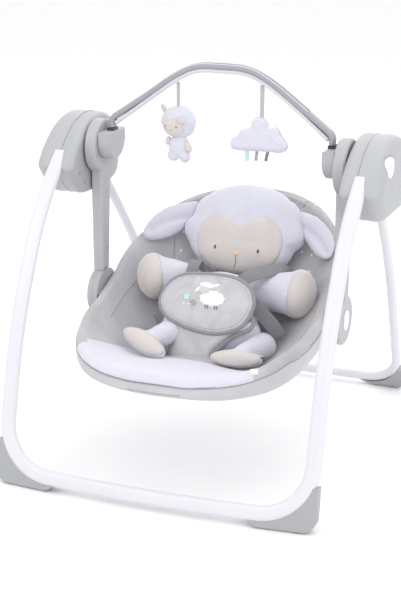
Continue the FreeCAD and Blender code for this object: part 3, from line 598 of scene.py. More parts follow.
def push(piece, rule):
    """Moves each vertex along its normal by rule(point)."""
    piece.data.update()
    normals = [v.normal.copy() for v in piece.data.vertices]
    for vertex, normal in zip(piece.data.vertices, normals):
        vertex.co += normal * rule(vertex.co)


def done(piece, body, slot, *nodes, fill=None):
    """Puts a finished piece on its body and hides the CAD nodes that it stands for; slot, its finish, is not
    used.
    """
    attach(piece, body)
    if nodes:
        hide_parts(*nodes)
    return piece


def cushion(name, frame_of, outline, thickness, material, spacing=0.004, edge=0.02, steps=6, flat_back=0.6):
    """A stuffed shape sewn from two equal panels: crowned in the middle, pinched to a seam round its edge.
    frame_of is (origin, u, v)."""
    origin, u, v = (Vector(p) for p in frame_of)
    u, v = u.normalized(), v.normalized()
    normal = u.cross(v).normalized()
    flat, away, faces, sides = filled(outline, spacing, steps, 0.55)
    border = {a for a, b in sides}
    points, under = [], []
    for k, (p, distance) in enumerate(zip(flat, away)):
        share = min(distance / edge, 1.0)
        height = 0.0 if k in border else thickness / 2 * math.sqrt(max(1 - (1 - share) ** 2, 0.0))
        spot = origin + p.x * u + p.y * v
        points.append(spot + height * normal)
        under.append(spot - height * flat_back * normal)
    back = []
    for k, point in enumerate(under):
        if k in border:
            back.append(k)
        else:
            back.append(len(points))
            points.append(point)
    faces += [tuple(back[k] for k in reversed(f)) for f in faces]
    return mesh_object(name, points, faces, material)


def outline_in_space(frame_of, outline, lift=0.0, closed=True, steps=6):
    """A drawn outline as points in space."""
    origin, u, v = (Vector(p) for p in frame_of)
    u, v = u.normalized(), v.normalized()
    normal = u.cross(v).normalized()
    flat = smooth_path([(a, b, 0) for a, b in outline], closed, steps)
    return [origin + p.x * u + p.y * v + lift * normal for p in flat]


# ---------------------------------------------------------------- seat cover

def joint(name):
    return next(j for j in frame["joints"] if j["name"] == name)


RECLINE = Vector(joint("seat_recline")["pos_m"])
RIM_Y, RIM_Z = RECLINE.y - 0.007, RECLINE.z + 0.007
RIM_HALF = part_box("seat_sling")[1].x
BACK_TILT, FRONT_TILT = math.radians(31), math.radians(11.5)
RIM_REACH = 0.285
BACK_POWER, FRONT_POWER = 2.4, 2.7
BEND = 0.06
LIP = 0.018
ROLL = 0.0096
ROLL_INSET = 0.0098
FRONT_LEAN = 0.005
ROLL_START = 1.2
RIBS_ROUND = 260
OUTER_SIDE, OUTER_END = 0.098, 0.082
INNER_SIDE, INNER_END = 0.092, 0.084


def bent(run, front, back):
    """Distance along one axis of the seat's plane, which bends softly at the sides' hubs."""
    if run >= BEND:
        return run * back
    if run <= -BEND:
        return run * front
    curve = (back - front) / (4 * BEND)
    return (front + back) / 2 * run + curve * run * run + curve * BEND * BEND


def seat_plane(run):
    return (RIM_Y + bent(run, math.cos(FRONT_TILT), math.cos(BACK_TILT)),
            RIM_Z + bent(run, math.sin(FRONT_TILT), math.sin(BACK_TILT)))


def rim_outline(angle, inset):
    power = BACK_POWER if math.sin(angle) > 0 else FRONT_POWER
    c, s = math.cos(angle), math.sin(angle)
    return ((RIM_HALF - inset) * math.copysign(abs(c) ** (2 / power), c),
            (RIM_REACH - inset) * math.copysign(abs(s) ** (2 / power), s))


def roll_end(angle):
    """Where the rim's roll runs smoothly into the inside: the walls are steeper at the sides."""
    return math.radians(64 - 28 * math.cos(angle) ** 2)


def rim_table():
    """Angles of the rim's outline against the share of its length."""
    angles = np.linspace(0, 2 * math.pi, 2001)
    points = np.array([rim_outline(a, 0) for a in angles])
    lengths = np.concatenate(([0], np.cumsum(np.hypot(*np.diff(points, axis=0).T))))
    return angles, lengths / lengths[-1]


RIM_ANGLES, RIM_SHARES = rim_table()


def cover_point(turn, station):
    """A point of the seat cover. turn 0..1 goes round the rim from the right side through the back.
    station 0 is under the middle, 1 the outer wall's top, 1.2 the roll's outside, 2 its inside, 3 the middle
    of the floor."""
    angle = float(np.interp(turn % 1.0, RIM_SHARES, RIM_ANGLES))
    side = math.cos(angle) ** 2
    share, drop = 1.0, 0.0
    if station <= 1.2:
        share = math.sin(min(station, 1.0) * math.pi / 2)
        inset = ROLL_INSET - ROLL
        end = OUTER_END * (1 - share ** 2) + LIP * min(1.0, (1.2 - station) / 0.2)
        drop = side * OUTER_SIDE * max(1 - share ** 2.6, 0) ** (1 / 2.6) + (1 - side) * end
    elif station < 2:
        low = roll_end(angle)
        a = low + (math.pi - low) * (2 - station) / 0.8
        inset = ROLL_INSET + ROLL * math.cos(a)
        drop = -ROLL * math.sin(a)
    else:
        share = math.cos((station - 2) * math.pi / 2)
        low = roll_end(angle)
        inset = ROLL_INSET + ROLL * math.cos(low)
        end = INNER_END * (1 - share ** (2.2 if math.sin(angle) > 0 else 1.25))
        drop = side * INNER_SIDE * (1 - share ** 3) + (1 - side) * end - ROLL * math.sin(low)
    x, run = rim_outline(angle, inset)
    y, z = seat_plane(run * share)
    lean = FRONT_LEAN * (min(run * share, 0.0) / RIM_REACH) ** 2
    return Vector((x * share - lean, y, z - drop))


def cover_normal(turn, station):
    step = 0.002
    around = cover_point(turn + step, station) - cover_point(turn - step, station)
    across = cover_point(turn, station + step) - cover_point(turn, station - step)
    return across.cross(around).normalized()


def cloth_wrinkle(p):
    """Soft unevenness of stretched padded cloth."""
    slow = noise.noise(Vector(p) * 13.0)
    fast = noise.noise(Vector((p[0] * 40, p[1] * 40, p[2] * 70)) + Vector((5, 1, 2)))
    return 0.0016 * slow + 0.0005 * fast


def cover_tubes(cover):
    """Pushes the cloth out wherever a tube of the seat ring would show through it."""
    trees = [bvh_of(NODES["seat_tube_back"]), bvh_of(NODES["seat_tube_front"])]
    cover.data.update()
    normals = [v.normal.copy() for v in cover.data.vertices]
    for vertex, normal in zip(cover.data.vertices, normals):
        for tree in trees:
            reach, start, farthest = 0.016, vertex.co - normal * 0.001, None
            for _ in range(4):
                hit, face, _, distance = tree.ray_cast(start, normal, reach)
                if hit is None:
                    break
                if face.dot(normal) > 0:
                    farthest = hit
                start, reach = hit + normal * 1e-5, reach - distance
            if farthest is not None and (farthest - vertex.co).dot(normal) > -0.001:
                vertex.co = farthest + normal * 0.0022


def make_seat_cover():
    around = 208
    stations = [0.12, 0.25, 0.38, 0.5, 0.6, 0.69, 0.77, 0.84, 0.9, 0.95, 1.0, 1.06, 1.13, 1.2,
                1.28, 1.36, 1.44, 1.52, 1.6, 1.68, 1.76, 1.84, 1.92, 2.0]
    stations += [2.0 + k / 26 for k in range(1, 25)]
    points, faces = [], []
    for i in range(around):
        for station in stations:
            points.append(cover_point(i / around, station))
    size = len(stations)
    for i in range(around):
        for k in range(size - 1):
            a, b = i * size + k, ((i + 1) % around) * size + k
            faces.append((a, a + 1, b + 1, b))
    for k, station in ((0, 0.0), (size - 1, 3.0)):
        points.append(cover_point(0, station))
        for i in range(around):
            faces.append((i * size + k, ((i + 1) % around) * size + k, len(points) - 1))
    cover = mesh_object("seat_cover", points, faces, "grey_velour")
    push(cover, cloth_wrinkle)
    cover.data.materials.append(MATERIAL["grey_skirt"])
    for polygon in cover.data.polygons:
        ring = [v % size for v in polygon.vertices if v < around * size]
        if stations[max(ring)] <= ROLL_START or max(ring) == 0:
            polygon.material_index = 1
    subdivide(cover, 1)
    cover_tubes(cover)
    done(cover, "seat", "grey_plush", "seat_sling", fill=0.7)
    return cover


def cover_place(x, run):
    """The turn and station of a point inside the rim, given in the seat's flat plane."""
    rough = math.atan2(run / RIM_REACH, x / RIM_HALF)
    inset = ROLL_INSET + ROLL * math.cos(roll_end(rough))
    power = BACK_POWER if run > 0 else FRONT_POWER
    across, along = abs(x) / (RIM_HALF - inset), abs(run) / (RIM_REACH - inset)
    share = max((across ** power + along ** power) ** (1 / power), 1e-6)
    angle = math.atan2(math.copysign((along / share) ** (power / 2), run),
                       math.copysign((across / share) ** (power / 2), x)) % (2 * math.pi)
    return float(np.interp(angle, RIM_ANGLES, RIM_SHARES)), 2 + math.acos(min(share, 1.0)) * 2 / math.pi


def flat_point(turn):
    """A point on the rim's inside in the seat's flat plane."""
    angle = float(np.interp(turn % 1.0, RIM_SHARES, RIM_ANGLES))
    return Vector(rim_outline(angle, ROLL_INSET + ROLL * math.cos(roll_end(angle))))


def grid_panel(name, tree, rows, lift, material, thick=0.0016, ribs=0.0):
    """A cloth panel laid on the cover, from rows of (turn, station), with closed rolled edges."""
    top, base = [], []
    size = len(rows[0])
    for i, row in enumerate(rows):
        for k, (turn, station) in enumerate(row):
            above = cover_point(turn, station) + cover_normal(turn, station) * 0.003
            point, normal, _, _ = tree.find_nearest(above)
            edge = min(i, len(rows) - 1 - i, k, size - 1 - k)
            rise = lift * (0.35 if edge == 0 else 1.0)
            if ribs:
                rise += ribs * math.sin(turn * 2 * math.pi * RIBS_ROUND)
            top.append(point + normal * rise)
            base.append(point - normal * thick)
    count = len(top)
    faces = []
    for i in range(len(rows) - 1):
        for k in range(size - 1):
            a, b = i * size + k, (i + 1) * size + k
            faces.append((a, a + 1, b + 1, b))
            faces.append((count + a, count + b, count + b + 1, count + a + 1))
    last = (len(rows) - 1) * size
    rim = list(range(size)) + [i * size + size - 1 for i in range(1, len(rows))]
    rim += [last + k for k in range(size - 2, -1, -1)] + [i * size for i in range(len(rows) - 2, 0, -1)]
    for a, b in zip(rim, rim[1:] + rim[:1]):
        faces.append((b, a, count + a, count + b))
    return mesh_object(name, top + base, faces, material)


def band(turns, low, high, across):
    """Rows of (turn, station) between two stations."""
    return [[(turn, low + (high - low) * k / across) for k in range(across + 1)] for turn in turns]


def front_panel_rows():
    """The pale panel from the front roll to the floor: its inner edge is drawn in the seat's plane."""
    left, _ = cover_place(-0.172, -0.222)
    right, _ = cover_place(0.150, -0.236)
    inner = smooth_path([(-0.171, -0.214, 0), (-0.163, -0.192, 0), (-0.152, -0.162, 0), (-0.138, -0.131, 0),
                         (-0.120, -0.105, 0), (-0.095, -0.099, 0), (-0.070, -0.110, 0), (-0.035, -0.120, 0),
                         (0.000, -0.126, 0), (0.050, -0.127, 0), (0.100, -0.142, 0), (0.143, -0.205, 0)],
                        False, 12)
    rows = []
    columns = 84
    for i in range(columns + 1):
        share = i / columns
        turn = left + (right - left) * share
        row = [(turn, 1.22 + 0.78 * k / 10) for k in range(11)]
        start = flat_point(turn)
        place = share * (len(inner) - 1)
        k = min(int(place), len(inner) - 2)
        end = inner[k].lerp(inner[k + 1], place - k)
        for step in range(1, 22):
            p = start.lerp(Vector((end.x, end.y)), step / 21)
            row.append(cover_place(p.x, p.y))
        rows.append(row)
    return rows


def make_seat_trim(cover):
    tree = bvh_of(cover)
    above = View((0, 0, 0.25), (1, 0, 0), (0, 1, 0), tree, 0.5)

    def seat_uv(points):
        return [(x, seat_plane(run)[0]) for x, run in points]

    front = grid_panel("seat_front_panel", tree, front_panel_rows(), 0.0018, "white_plush")
    done(front, "seat", "white_plush")
    hem_path = []
    for turn in [k / 300 for k in range(300)]:
        hem_path.append(tree.find_nearest(cover_point(turn, 1.19) + cover_normal(turn, 1.19) * 0.003)[0])
    hem = tube("seat_hem_piping", hem_path, 0.0010, "piping_and_groove_shade", True)
    done(hem, "seat", "webbing")
    skirt_rows = band(np.linspace(0.47, 1.03, 400), 0.40, 1.17, 16)
    skirt = grid_panel("seat_skirt", tree, skirt_rows, 0.0014, "grey_skirt", ribs=0.0003)
    done(skirt, "seat", "grey_plush")
    liner = patch("seat_liner", above, seat_uv([
        (-0.137, 0.182), (-0.130, 0.150), (-0.118, 0.11), (-0.10, 0.06), (0, 0.03), (0.10, 0.06),
        (0.135, 0.11), (0.153, 0.15), (0.162, 0.19), (0.146, 0.228), (0.113, 0.259), (0.09, 0.244),
        (0.04, 0.23), (-0.05, 0.225), (-0.11, 0.215)]), "grey_liner", 0.0012, 0.005)
    done(liner, "seat", "grey_plush")
    seams = []
    for points in ([(-0.169, 0.063), (-0.176, 0.004), (-0.173, -0.069)],
                   [(0.169, 0.075), (0.176, 0.01), (0.173, -0.069)],
                   [(0.085, 0.235), (0.098, 0.255), (0.11, 0.268)],
                   [(-0.085, 0.235), (-0.098, 0.255), (-0.11, 0.268)],
                   [(-0.138, 0.185), (-0.131, 0.150), (-0.119, 0.11), (-0.101, 0.06)]):
        seams.append(line_on("seam", above, seat_uv(points), 0.0006, "piping_and_groove_shade"))
    done(joined("seat_seams", seams), "seat", "webbing")
    star_view = View((0, 0, 0.25), (1, 0, 0), (0, 1, 0), bvh_of(liner, cover), 0.5)
    stars = []
    for k, (x, run) in enumerate([(0.113, 0.247), (0.140, 0.222), (0.129, 0.164), (-0.122, 0.180),
                                  (-0.118, 0.153), (0.146, 0.19), (0.133, 0.135), (-0.112, 0.125),
                                  (0.119, 0.200), (0.108, 0.175)]):
        u, v = seat_uv([(x, run)])[0]
        points = []
        for i in range(10):
            a = 2 * math.pi * i / 10 + k
            reach = 0.0026 if i % 2 else 0.0017
            points.append((u + reach * math.cos(a), v + reach * math.sin(a)))
        stars.append(patch("star", star_view, points, "thread_white", 0.0004, 0.0011, edge=0.0006, steps=2))
    done(joined("seat_liner_stars", stars), "seat", "white_plush")
    make_tag()


def make_tag():
    """The small cloth label at the rim's seam."""
    turn, _ = cover_place(0.153, -0.234)
    root, normal = cover_point(turn, 1.45), cover_normal(turn, 1.45)
    label = []
    for size, wide, lift, material in ((0.0085, 1.7, 0.0016, "white_tape"),
                                       (0.004, 1.0, 0.0040, "green_print")):
        middle = root + normal * lift + Vector((0, -0.002, 0.0035))
        path = [middle + Vector((0, 0, z)) for z in (-size * 1.05, -size * 0.4, size * 0.3, size)]
        label.append(ribbon("tag_part", path, [normal] * 4, size * wide, 0.0009, material))
    done(joined("seat_label", label), "seat", "white_plush")


# ---------------------------------------------------------------- animal insert

HEAD_TILT = math.radians(60)
HEAD_V = Vector((0, math.cos(HEAD_TILT), math.sin(HEAD_TILT)))
HEAD_N = Vector((1, 0, 0)).cross(HEAD_V)
HEAD_LOW, HEAD_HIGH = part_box("insert_head")
HEAD_CENTRE = (HEAD_LOW + HEAD_HIGH) / 2


def placed(origin, u, v):
    """The matrix of a local frame."""
    u, v = Vector(u).normalized(), Vector(v).normalized()
    n = u.cross(v).normalized()
    v = n.cross(u)
    matrix = Matrix((u, v, n)).transposed().to_4x4()
    matrix.translation = Vector(origin)
    return matrix


def make_head():
    head = blob("insert_lamb_head", [
        ((0.003, 0.022, 0), (0.104, 0.064, 0.036), 0),
        ((0.003, -0.004, 0), (0.116, 0.060, 0.036), 0),
        ((0.003, -0.034, 0), (0.100, 0.052, 0.034), 0),
    ], "white_plush", 0.005, 10)
    head.data.transform(placed(HEAD_CENTRE, (1, 0, 0), HEAD_V))
    puff(head, 2.5, 0.003)
    subdivide(head, 1)
    done(head, "seat", "white_plush", "insert_head", fill=0.7)
    face = View(HEAD_CENTRE, (1, 0, 0), HEAD_V, bvh_of(head))
    mask = patch("insert_lamb_face", face, [
        (-0.072, -0.045), (-0.075, -0.024), (-0.070, -0.002), (-0.058, 0.014), (-0.041, 0.022),
        (-0.036, 0.016), (-0.025, 0.011), (-0.013, 0.012), (-0.008, 0.007), (0.001, 0.003), (0.011, 0.003),
        (0.021, 0.007),
        (0.026, 0.012), (0.035, 0.012), (0.045, 0.016), (0.051, 0.023), (0.063, 0.019), (0.074, 0.008),
        (0.083, -0.008), (0.085, -0.028), (0.081, -0.047), (0.068, -0.066), (0.043, -0.080), (0.006, -0.086),
        (-0.030, -0.082), (-0.053, -0.070), (-0.066, -0.058)], "beige_plush", 0.0014, 0.0035, 0.001)
    done(mask, "seat", "white_plush")
    face = View(HEAD_CENTRE, (1, 0, 0), HEAD_V, bvh_of(mask, head))
    details = [
        *[patch("eye", face, oval(u, -0.044, 0.0022, 0.0038), "thread_brown", 0.0008, 0.0011, 0.0003, 0.001)
          for u in (-0.035, 0.046)],
        patch("nose", face, oval(0.006, -0.053, 0.0048, 0.0040), "peach", 0.0010, 0.0014, 0.0008, 0.0015),
        line_on("mouth", face, [(0.007, -0.057), (0.0075, -0.066), (0.004, -0.076)], 0.0006, "thread_brown"),
    ]
    done(joined("insert_lamb_features", details), "seat", "webbing")
    make_ear("insert_ear_left", [
        (-0.098, 0.047), (-0.122, 0.041), (-0.150, 0.026), (-0.174, 0.004), (-0.187, -0.022),
        (-0.183, -0.036), (-0.166, -0.041), (-0.143, -0.034), (-0.124, -0.020), (-0.110, -0.002),
        (-0.098, 0.020)],
        [(-0.112, 0.014), (-0.140, -0.002), (-0.171, -0.023)])
    make_ear("insert_ear_right", [
        (0.096, 0.046), (0.124, 0.042), (0.151, 0.026), (0.170, 0.006), (0.178, -0.014), (0.176, -0.034),
        (0.164, -0.041), (0.145, -0.034), (0.125, -0.014), (0.111, 0.002), (0.098, 0.020)],
        [(0.110, 0.018), (0.142, -0.004), (0.166, -0.030)])


EAR_LIFT = 0.018


def make_ear(name, outline, fold):
    frame_of = (HEAD_CENTRE - HEAD_N * 0.004, (1, 0, 0), HEAD_V)
    ear = cushion(name, frame_of, outline, 0.017, "white_plush", 0.004, 0.016, 6, 0.7)
    curve = smooth_flat(fold)
    u, v = Vector((1, 0, 0)), HEAD_V
    for vertex in ear.data.vertices:
        offset = vertex.co - Vector(frame_of[0])
        a, b, height = offset.dot(u), offset.dot(v), offset.dot(HEAD_N)
        near = min(math.hypot(a - x, b - y) for x, y in curve)
        if height > 0:
            vertex.co -= HEAD_N * 0.0055 * math.exp(-(near / 0.0055) ** 2)
        out = min(max((abs(a) - 0.100) / 0.055, 0.0), 1.0)
        vertex.co += HEAD_N * EAR_LIFT * out * out * (3 - 2 * out)
    subdivide(ear, 1)
    done(ear, "seat", "white_plush", fill=0.5)


def limb(name, root, tip, root_radius, tip_radius, disc_normal, disc_radii, roll):
    """A stuffed arm or leg: a tapered white sleeve from root to tip, and the flat beige pad on its end, which
    faces along disc_normal and is turned in its own plane by roll."""
    root, tip = Vector(root), Vector(tip)
    disc_normal = Vector(disc_normal).normalized()
    across = Vector((1, 0, 0)) - disc_normal * disc_normal.x
    if across.length < 0.3:
        across = Vector((0, 1, 0)) - disc_normal * disc_normal.y
    across.rotate(Matrix.Rotation(math.radians(roll), 3, disc_normal))
    matrix = placed(tip, across, disc_normal.cross(across))
    balls = [ball(matrix @ Matrix.Diagonal((*disc_radii, 1)))]
    steps = 5
    for k in range(steps):
        share = k / steps
        centre = root.lerp(tip, share * 0.96)
        radius = root_radius + (tip_radius - root_radius) * share
        balls.append(ball(Matrix.Translation(centre) @ Matrix.Diagonal((radius, radius, radius, 1)), 24, 16))
    piece = grown(name, balls, "white_plush", 0.004, 8)
    puff(piece, 4.0, 0.004)
    push(piece, lambda p: 0.0010 * noise.noise(Vector(p) * 38.0))
    subdivide(piece, 1)
    pad = patch(name + "_pad", View(tip, across, disc_normal.cross(across), bvh_of(piece), 0.08),
                oval(0, 0, disc_radii[0] * 0.93, disc_radii[1] * 0.93, 0, 24), "beige_plush", 0.0026, 0.0030,
                0.0004, 0.004)
    return piece, pad


def make_limbs():
    """Arms with round paws and legs with soles, of the animal that lies in the seat."""
    specs = [
        ("insert_arm_left", (-0.062, 0.002, 0.286), (-0.132, -0.004, 0.284), 0.024, 0.037,
         (-0.06, -0.97, 0.20), (0.033, 0.042, 0.017), 8),
        ("insert_arm_right", (0.074, 0.002, 0.276), (0.137, -0.002, 0.281), 0.030, 0.038,
         (0.66, -0.74, 0.12), (0.033, 0.044, 0.016), -6),
        ("insert_leg_left", (-0.050, -0.085, 0.222), (-0.085, -0.160, 0.214), 0.024, 0.016,
         (-0.16, -0.84, 0.52), (0.049, 0.018, 0.013), -22),
        ("insert_leg_right", (0.098, -0.080, 0.204), (0.079, -0.156, 0.205), 0.024, 0.016,
         (0.06, -0.94, 0.34), (0.047, 0.0145, 0.014), 3),
    ]
    for i, (name, *shape) in enumerate(specs):
        sleeve, pad = limb(name, *shape)
        done(sleeve, "seat", "white_plush", *(["insert_limbs"] if i == 0 else []), fill=0.7)
        done(pad, "seat", "white_plush")


def make_torso():
    torso = blob("insert_torso", [
        ((0.0, -0.022, 0.256), (0.085, 0.060, 0.033), 42),
        ((0.0, -0.068, 0.222), (0.092, 0.052, 0.032), 28),
    ], "white_plush", 0.005, 8)
    push(torso, lambda p: 0.0015 * noise.noise(Vector(p) * 30.0))
    subdivide(torso, 1)
    done(torso, "seat", "white_plush", "insert_body", fill=0.6)


# ---------------------------------------------------------------- harness

PAD_TILT = math.radians(62)
PAD_V = Vector((0, math.cos(PAD_TILT), math.sin(PAD_TILT)))
PAD_N = Vector((1, 0, 0)).cross(PAD_V)
PAD_LOW, PAD_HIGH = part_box("harness_pad")
PAD_CENTRE = (PAD_LOW + PAD_HIGH) / 2
PAD_OUTLINE = [(-0.082, -0.014), (-0.080, 0.008), (-0.067, 0.030), (-0.043, 0.042), (-0.012, 0.046),
               (0.020, 0.047), (0.048, 0.044), (0.073, 0.031), (0.085, 0.008), (0.082, -0.015),
               (0.070, -0.036), (0.049, -0.048), (0.022, -0.054), (-0.010, -0.052), (-0.040, -0.045),
               (-0.067, -0.033)]


def make_harness_pad():
    frame_of = (PAD_CENTRE, (1, 0, 0), PAD_V)
    pad = cushion("harness_belly_pad", frame_of, PAD_OUTLINE, 0.013, "pad_velour", 0.004, 0.022)
    puff(pad, 3.0, 0.003, 12)
    push(pad, lambda p: 0.0007 * noise.noise(Vector(p) * 45.0))
    subdivide(pad, 1)
    done(pad, "seat", "grey_plush", "harness_pad", fill=0.6)
    rim = outline_in_space(frame_of, PAD_OUTLINE, 0.0005)
    piping_and_groove_shade = ribbon_loop("harness_pad_piping", rim, PAD_N, 0.0085, 0.0062, "piping_and_groove_shade")
    done(piping_and_groove_shade, "seat", "webbing")
    view = View(PAD_CENTRE, (1, 0, 0), PAD_V, bvh_of(pad))
    stitching = stitches_on("harness_pad_stitching", view, [(a * 0.93, b * 0.89) for a, b in PAD_OUTLINE],
                            "thread_dark", True)
    done(stitching, "seat", "webbing")
    make_motif(view)


def ribbon_loop(name, points, normal, width, thickness, material):
    """A closed folded tape round an edge."""
    along = tangents_of(points, True)
    rings = []
    for point, tangent in zip(points, along):
        face = Vector(normal).normalized()
        side = tangent.cross(face).normalized()
        ring = []
        for k in range(10):
            a = 2 * math.pi * k / 10
            ring.append(point + side * (width / 2 * math.cos(a)) + face * (thickness / 2 * math.sin(a)))
        rings.append(ring)
    return skin_rings(name, rings, material, True)


def make_motif(view):
    """The small embroidered lamb and flowers."""
    wool = []
    for k in range(44):
        a = 2 * math.pi * k / 44
        bump = 1 + 0.055 * math.sin(a * 11)
        wool.append((0.013 + 0.0225 * math.cos(a) * bump, 0.004 + 0.0135 * math.sin(a) * bump))
    parts = [
        patch("wool", view, wool, "thread_white", 0.0011, 0.0016, 0.0004, 0.001, 2),
    ]
    for shape, material, lift, spacing, crown in (
            ((0.0, 0.0262, 0.0135, 0.0052, -0.08, 14), "thread_white", 0.0013, 0.0014, 0.0003),
            ((-0.0150, 0.0175, 0.0072, 0.0028, 0.85, 12), "thread_white", 0.0012, 0.0012, 0),
            ((0.0165, 0.0275, 0.0062, 0.0024, 0.30, 12), "thread_white", 0.0012, 0.0012, 0),
            ((-0.003, 0.0170, 0.0108, 0.0076, -0.1, 14), "beige_plush", 0.0015, 0.0014, 0.0003)):
        parts.append(patch("head", view, oval(*shape), material, lift, spacing, crown, 0.001, 2))
    for x in (-0.0065, 0.0010):
        parts.append(patch("dot", view, oval(x, 0.0165, 0.0008, 0.0010, 0, 8), "thread_brown", 0.0022, 0.0008,
                           0, 0.0005, 2))
    for x in (0.0035, 0.0075, 0.0205, 0.0245):
        parts.append(line_on("leg", view, [(x, -0.0085), (x + 0.0003, -0.014)], 0.0007, "thread_brown",
                             lift=0.0006))
    done(joined("harness_pad_lamb", parts), "seat", "white_plush")
    flower = []
    for x, y, r, material in ((-0.0335, 0.002, 0.0060, "mint"), (-0.0195, -0.0075, 0.0068, "tan")):
        spiral = []
        for k in range(36):
            a = k * 0.45
            reach = r * k / 36
            spiral.append((x + reach * math.cos(a), y + reach * math.sin(a)))
        flower.append(line_on("petal", view, spiral, 0.0006, material, lift=0.0004, steps=2, spacing=0.0012))
    flower.append(patch("bloom", view, oval(-0.0335, 0.002, 0.0055, 0.0055, 0, 12), "mint", 0.0008, 0.0012, 0,
                        0.001, 2))
    flower.append(line_on("stem", view, [(-0.0325, -0.005), (-0.032, -0.0125)], 0.0004, "mint", lift=0.0003))
    for side in (-1, 1):
        leaf = oval(-0.032 + side * 0.0042, -0.010, 0.0036, 0.0016, side * 0.6, 10)
        flower.append(patch("leaf", view, leaf, "pale_blue", 0.0008, 0.0010, 0, 0.0008, 2))
    flower.append(line_on("stem", view, [(-0.0195, -0.0148), (-0.020, -0.0185)], 0.0004, "tan",
                          lift=0.0003))
    done(joined("harness_pad_flowers", flower), "seat", "white_plush")


def make_crotch_piece():
    low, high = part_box("crotch_strap")
    centre = (low + high) / 2
    outline = [(-0.040, 0.052), (0.005, 0.054), (0.050, 0.060), (0.088, 0.066), (0.086, 0.050),
               (0.062, 0.036), (0.043, 0.018), (0.029, 0.000), (0.022, -0.018), (-0.013, -0.020),
               (-0.046, -0.018),
               (-0.048, 0.002), (-0.043, 0.027)]
    tilt = Vector((0, 0.45, 1)).normalized()
    frame_of = (Vector((-0.003, centre.y + 0.0125, 0.195)), (1, 0, 0), tilt)
    piece = cushion("harness_crotch_pad", frame_of, outline, 0.011, "pad_velour", 0.004, 0.016)
    puff(piece, 3.0, 0.003, 12)
    subdivide(piece, 1)
    done(piece, "seat", "grey_plush", "crotch_strap", fill=0.5)
    rim = outline_in_space(frame_of, outline, 0.0004)
    piping_and_groove_shade = ribbon_loop("harness_crotch_piping", rim, (0, -1, 0.1), 0.0085, 0.0056, "piping_and_groove_shade")
    done(piping_and_groove_shade, "seat", "webbing")


# each strap: its route, the way its face looks, its width
STRAPS = [
    ([(0.108, 0.046, 0.292), (0.102, 0.026, 0.312), (0.084, -0.008, 0.319), (0.060, -0.038, 0.314),
      (0.040, -0.058, 0.300)], (0.10, -0.72, 0.68), 0.025),
    ([(0.070, -0.070, 0.282), (0.088, -0.064, 0.262), (0.108, -0.058, 0.238), (0.122, -0.052, 0.215)],
     (0.25, -0.85, 0.30), 0.025),
    ([(-0.070, -0.070, 0.270), (-0.090, -0.060, 0.240), (-0.112, -0.045, 0.214)], (-0.25, -0.85, 0.30),
     0.025),
]


def make_straps():
    """Shoulder and waist webbing. The left shoulder strap bends over the insert's shoulder."""
    left = smooth_path([(-0.046, 0.000, 0.298), (-0.046, -0.006, 0.316), (-0.046, -0.018, 0.326),
                        (-0.046, -0.032, 0.321), (-0.046, -0.046, 0.308), (-0.047, -0.060, 0.290)])
    faces = [Vector((1, 0, 0)).cross(tangent) for tangent in tangents_of(left)]
    straps = [ribbon("strap", left, faces, 0.022, 0.0018, "webbing")]
    for route, face, width in STRAPS:
        path = smooth_path(route)
        straps.append(ribbon("strap", path, [face] * len(path), width, 0.0018, "webbing"))
    done(joined("harness_webbing", straps), "seat", "webbing", "harness_straps")


# ---------------------------------------------------------------- toys

LAMB_TOY_TURN = math.radians(15)


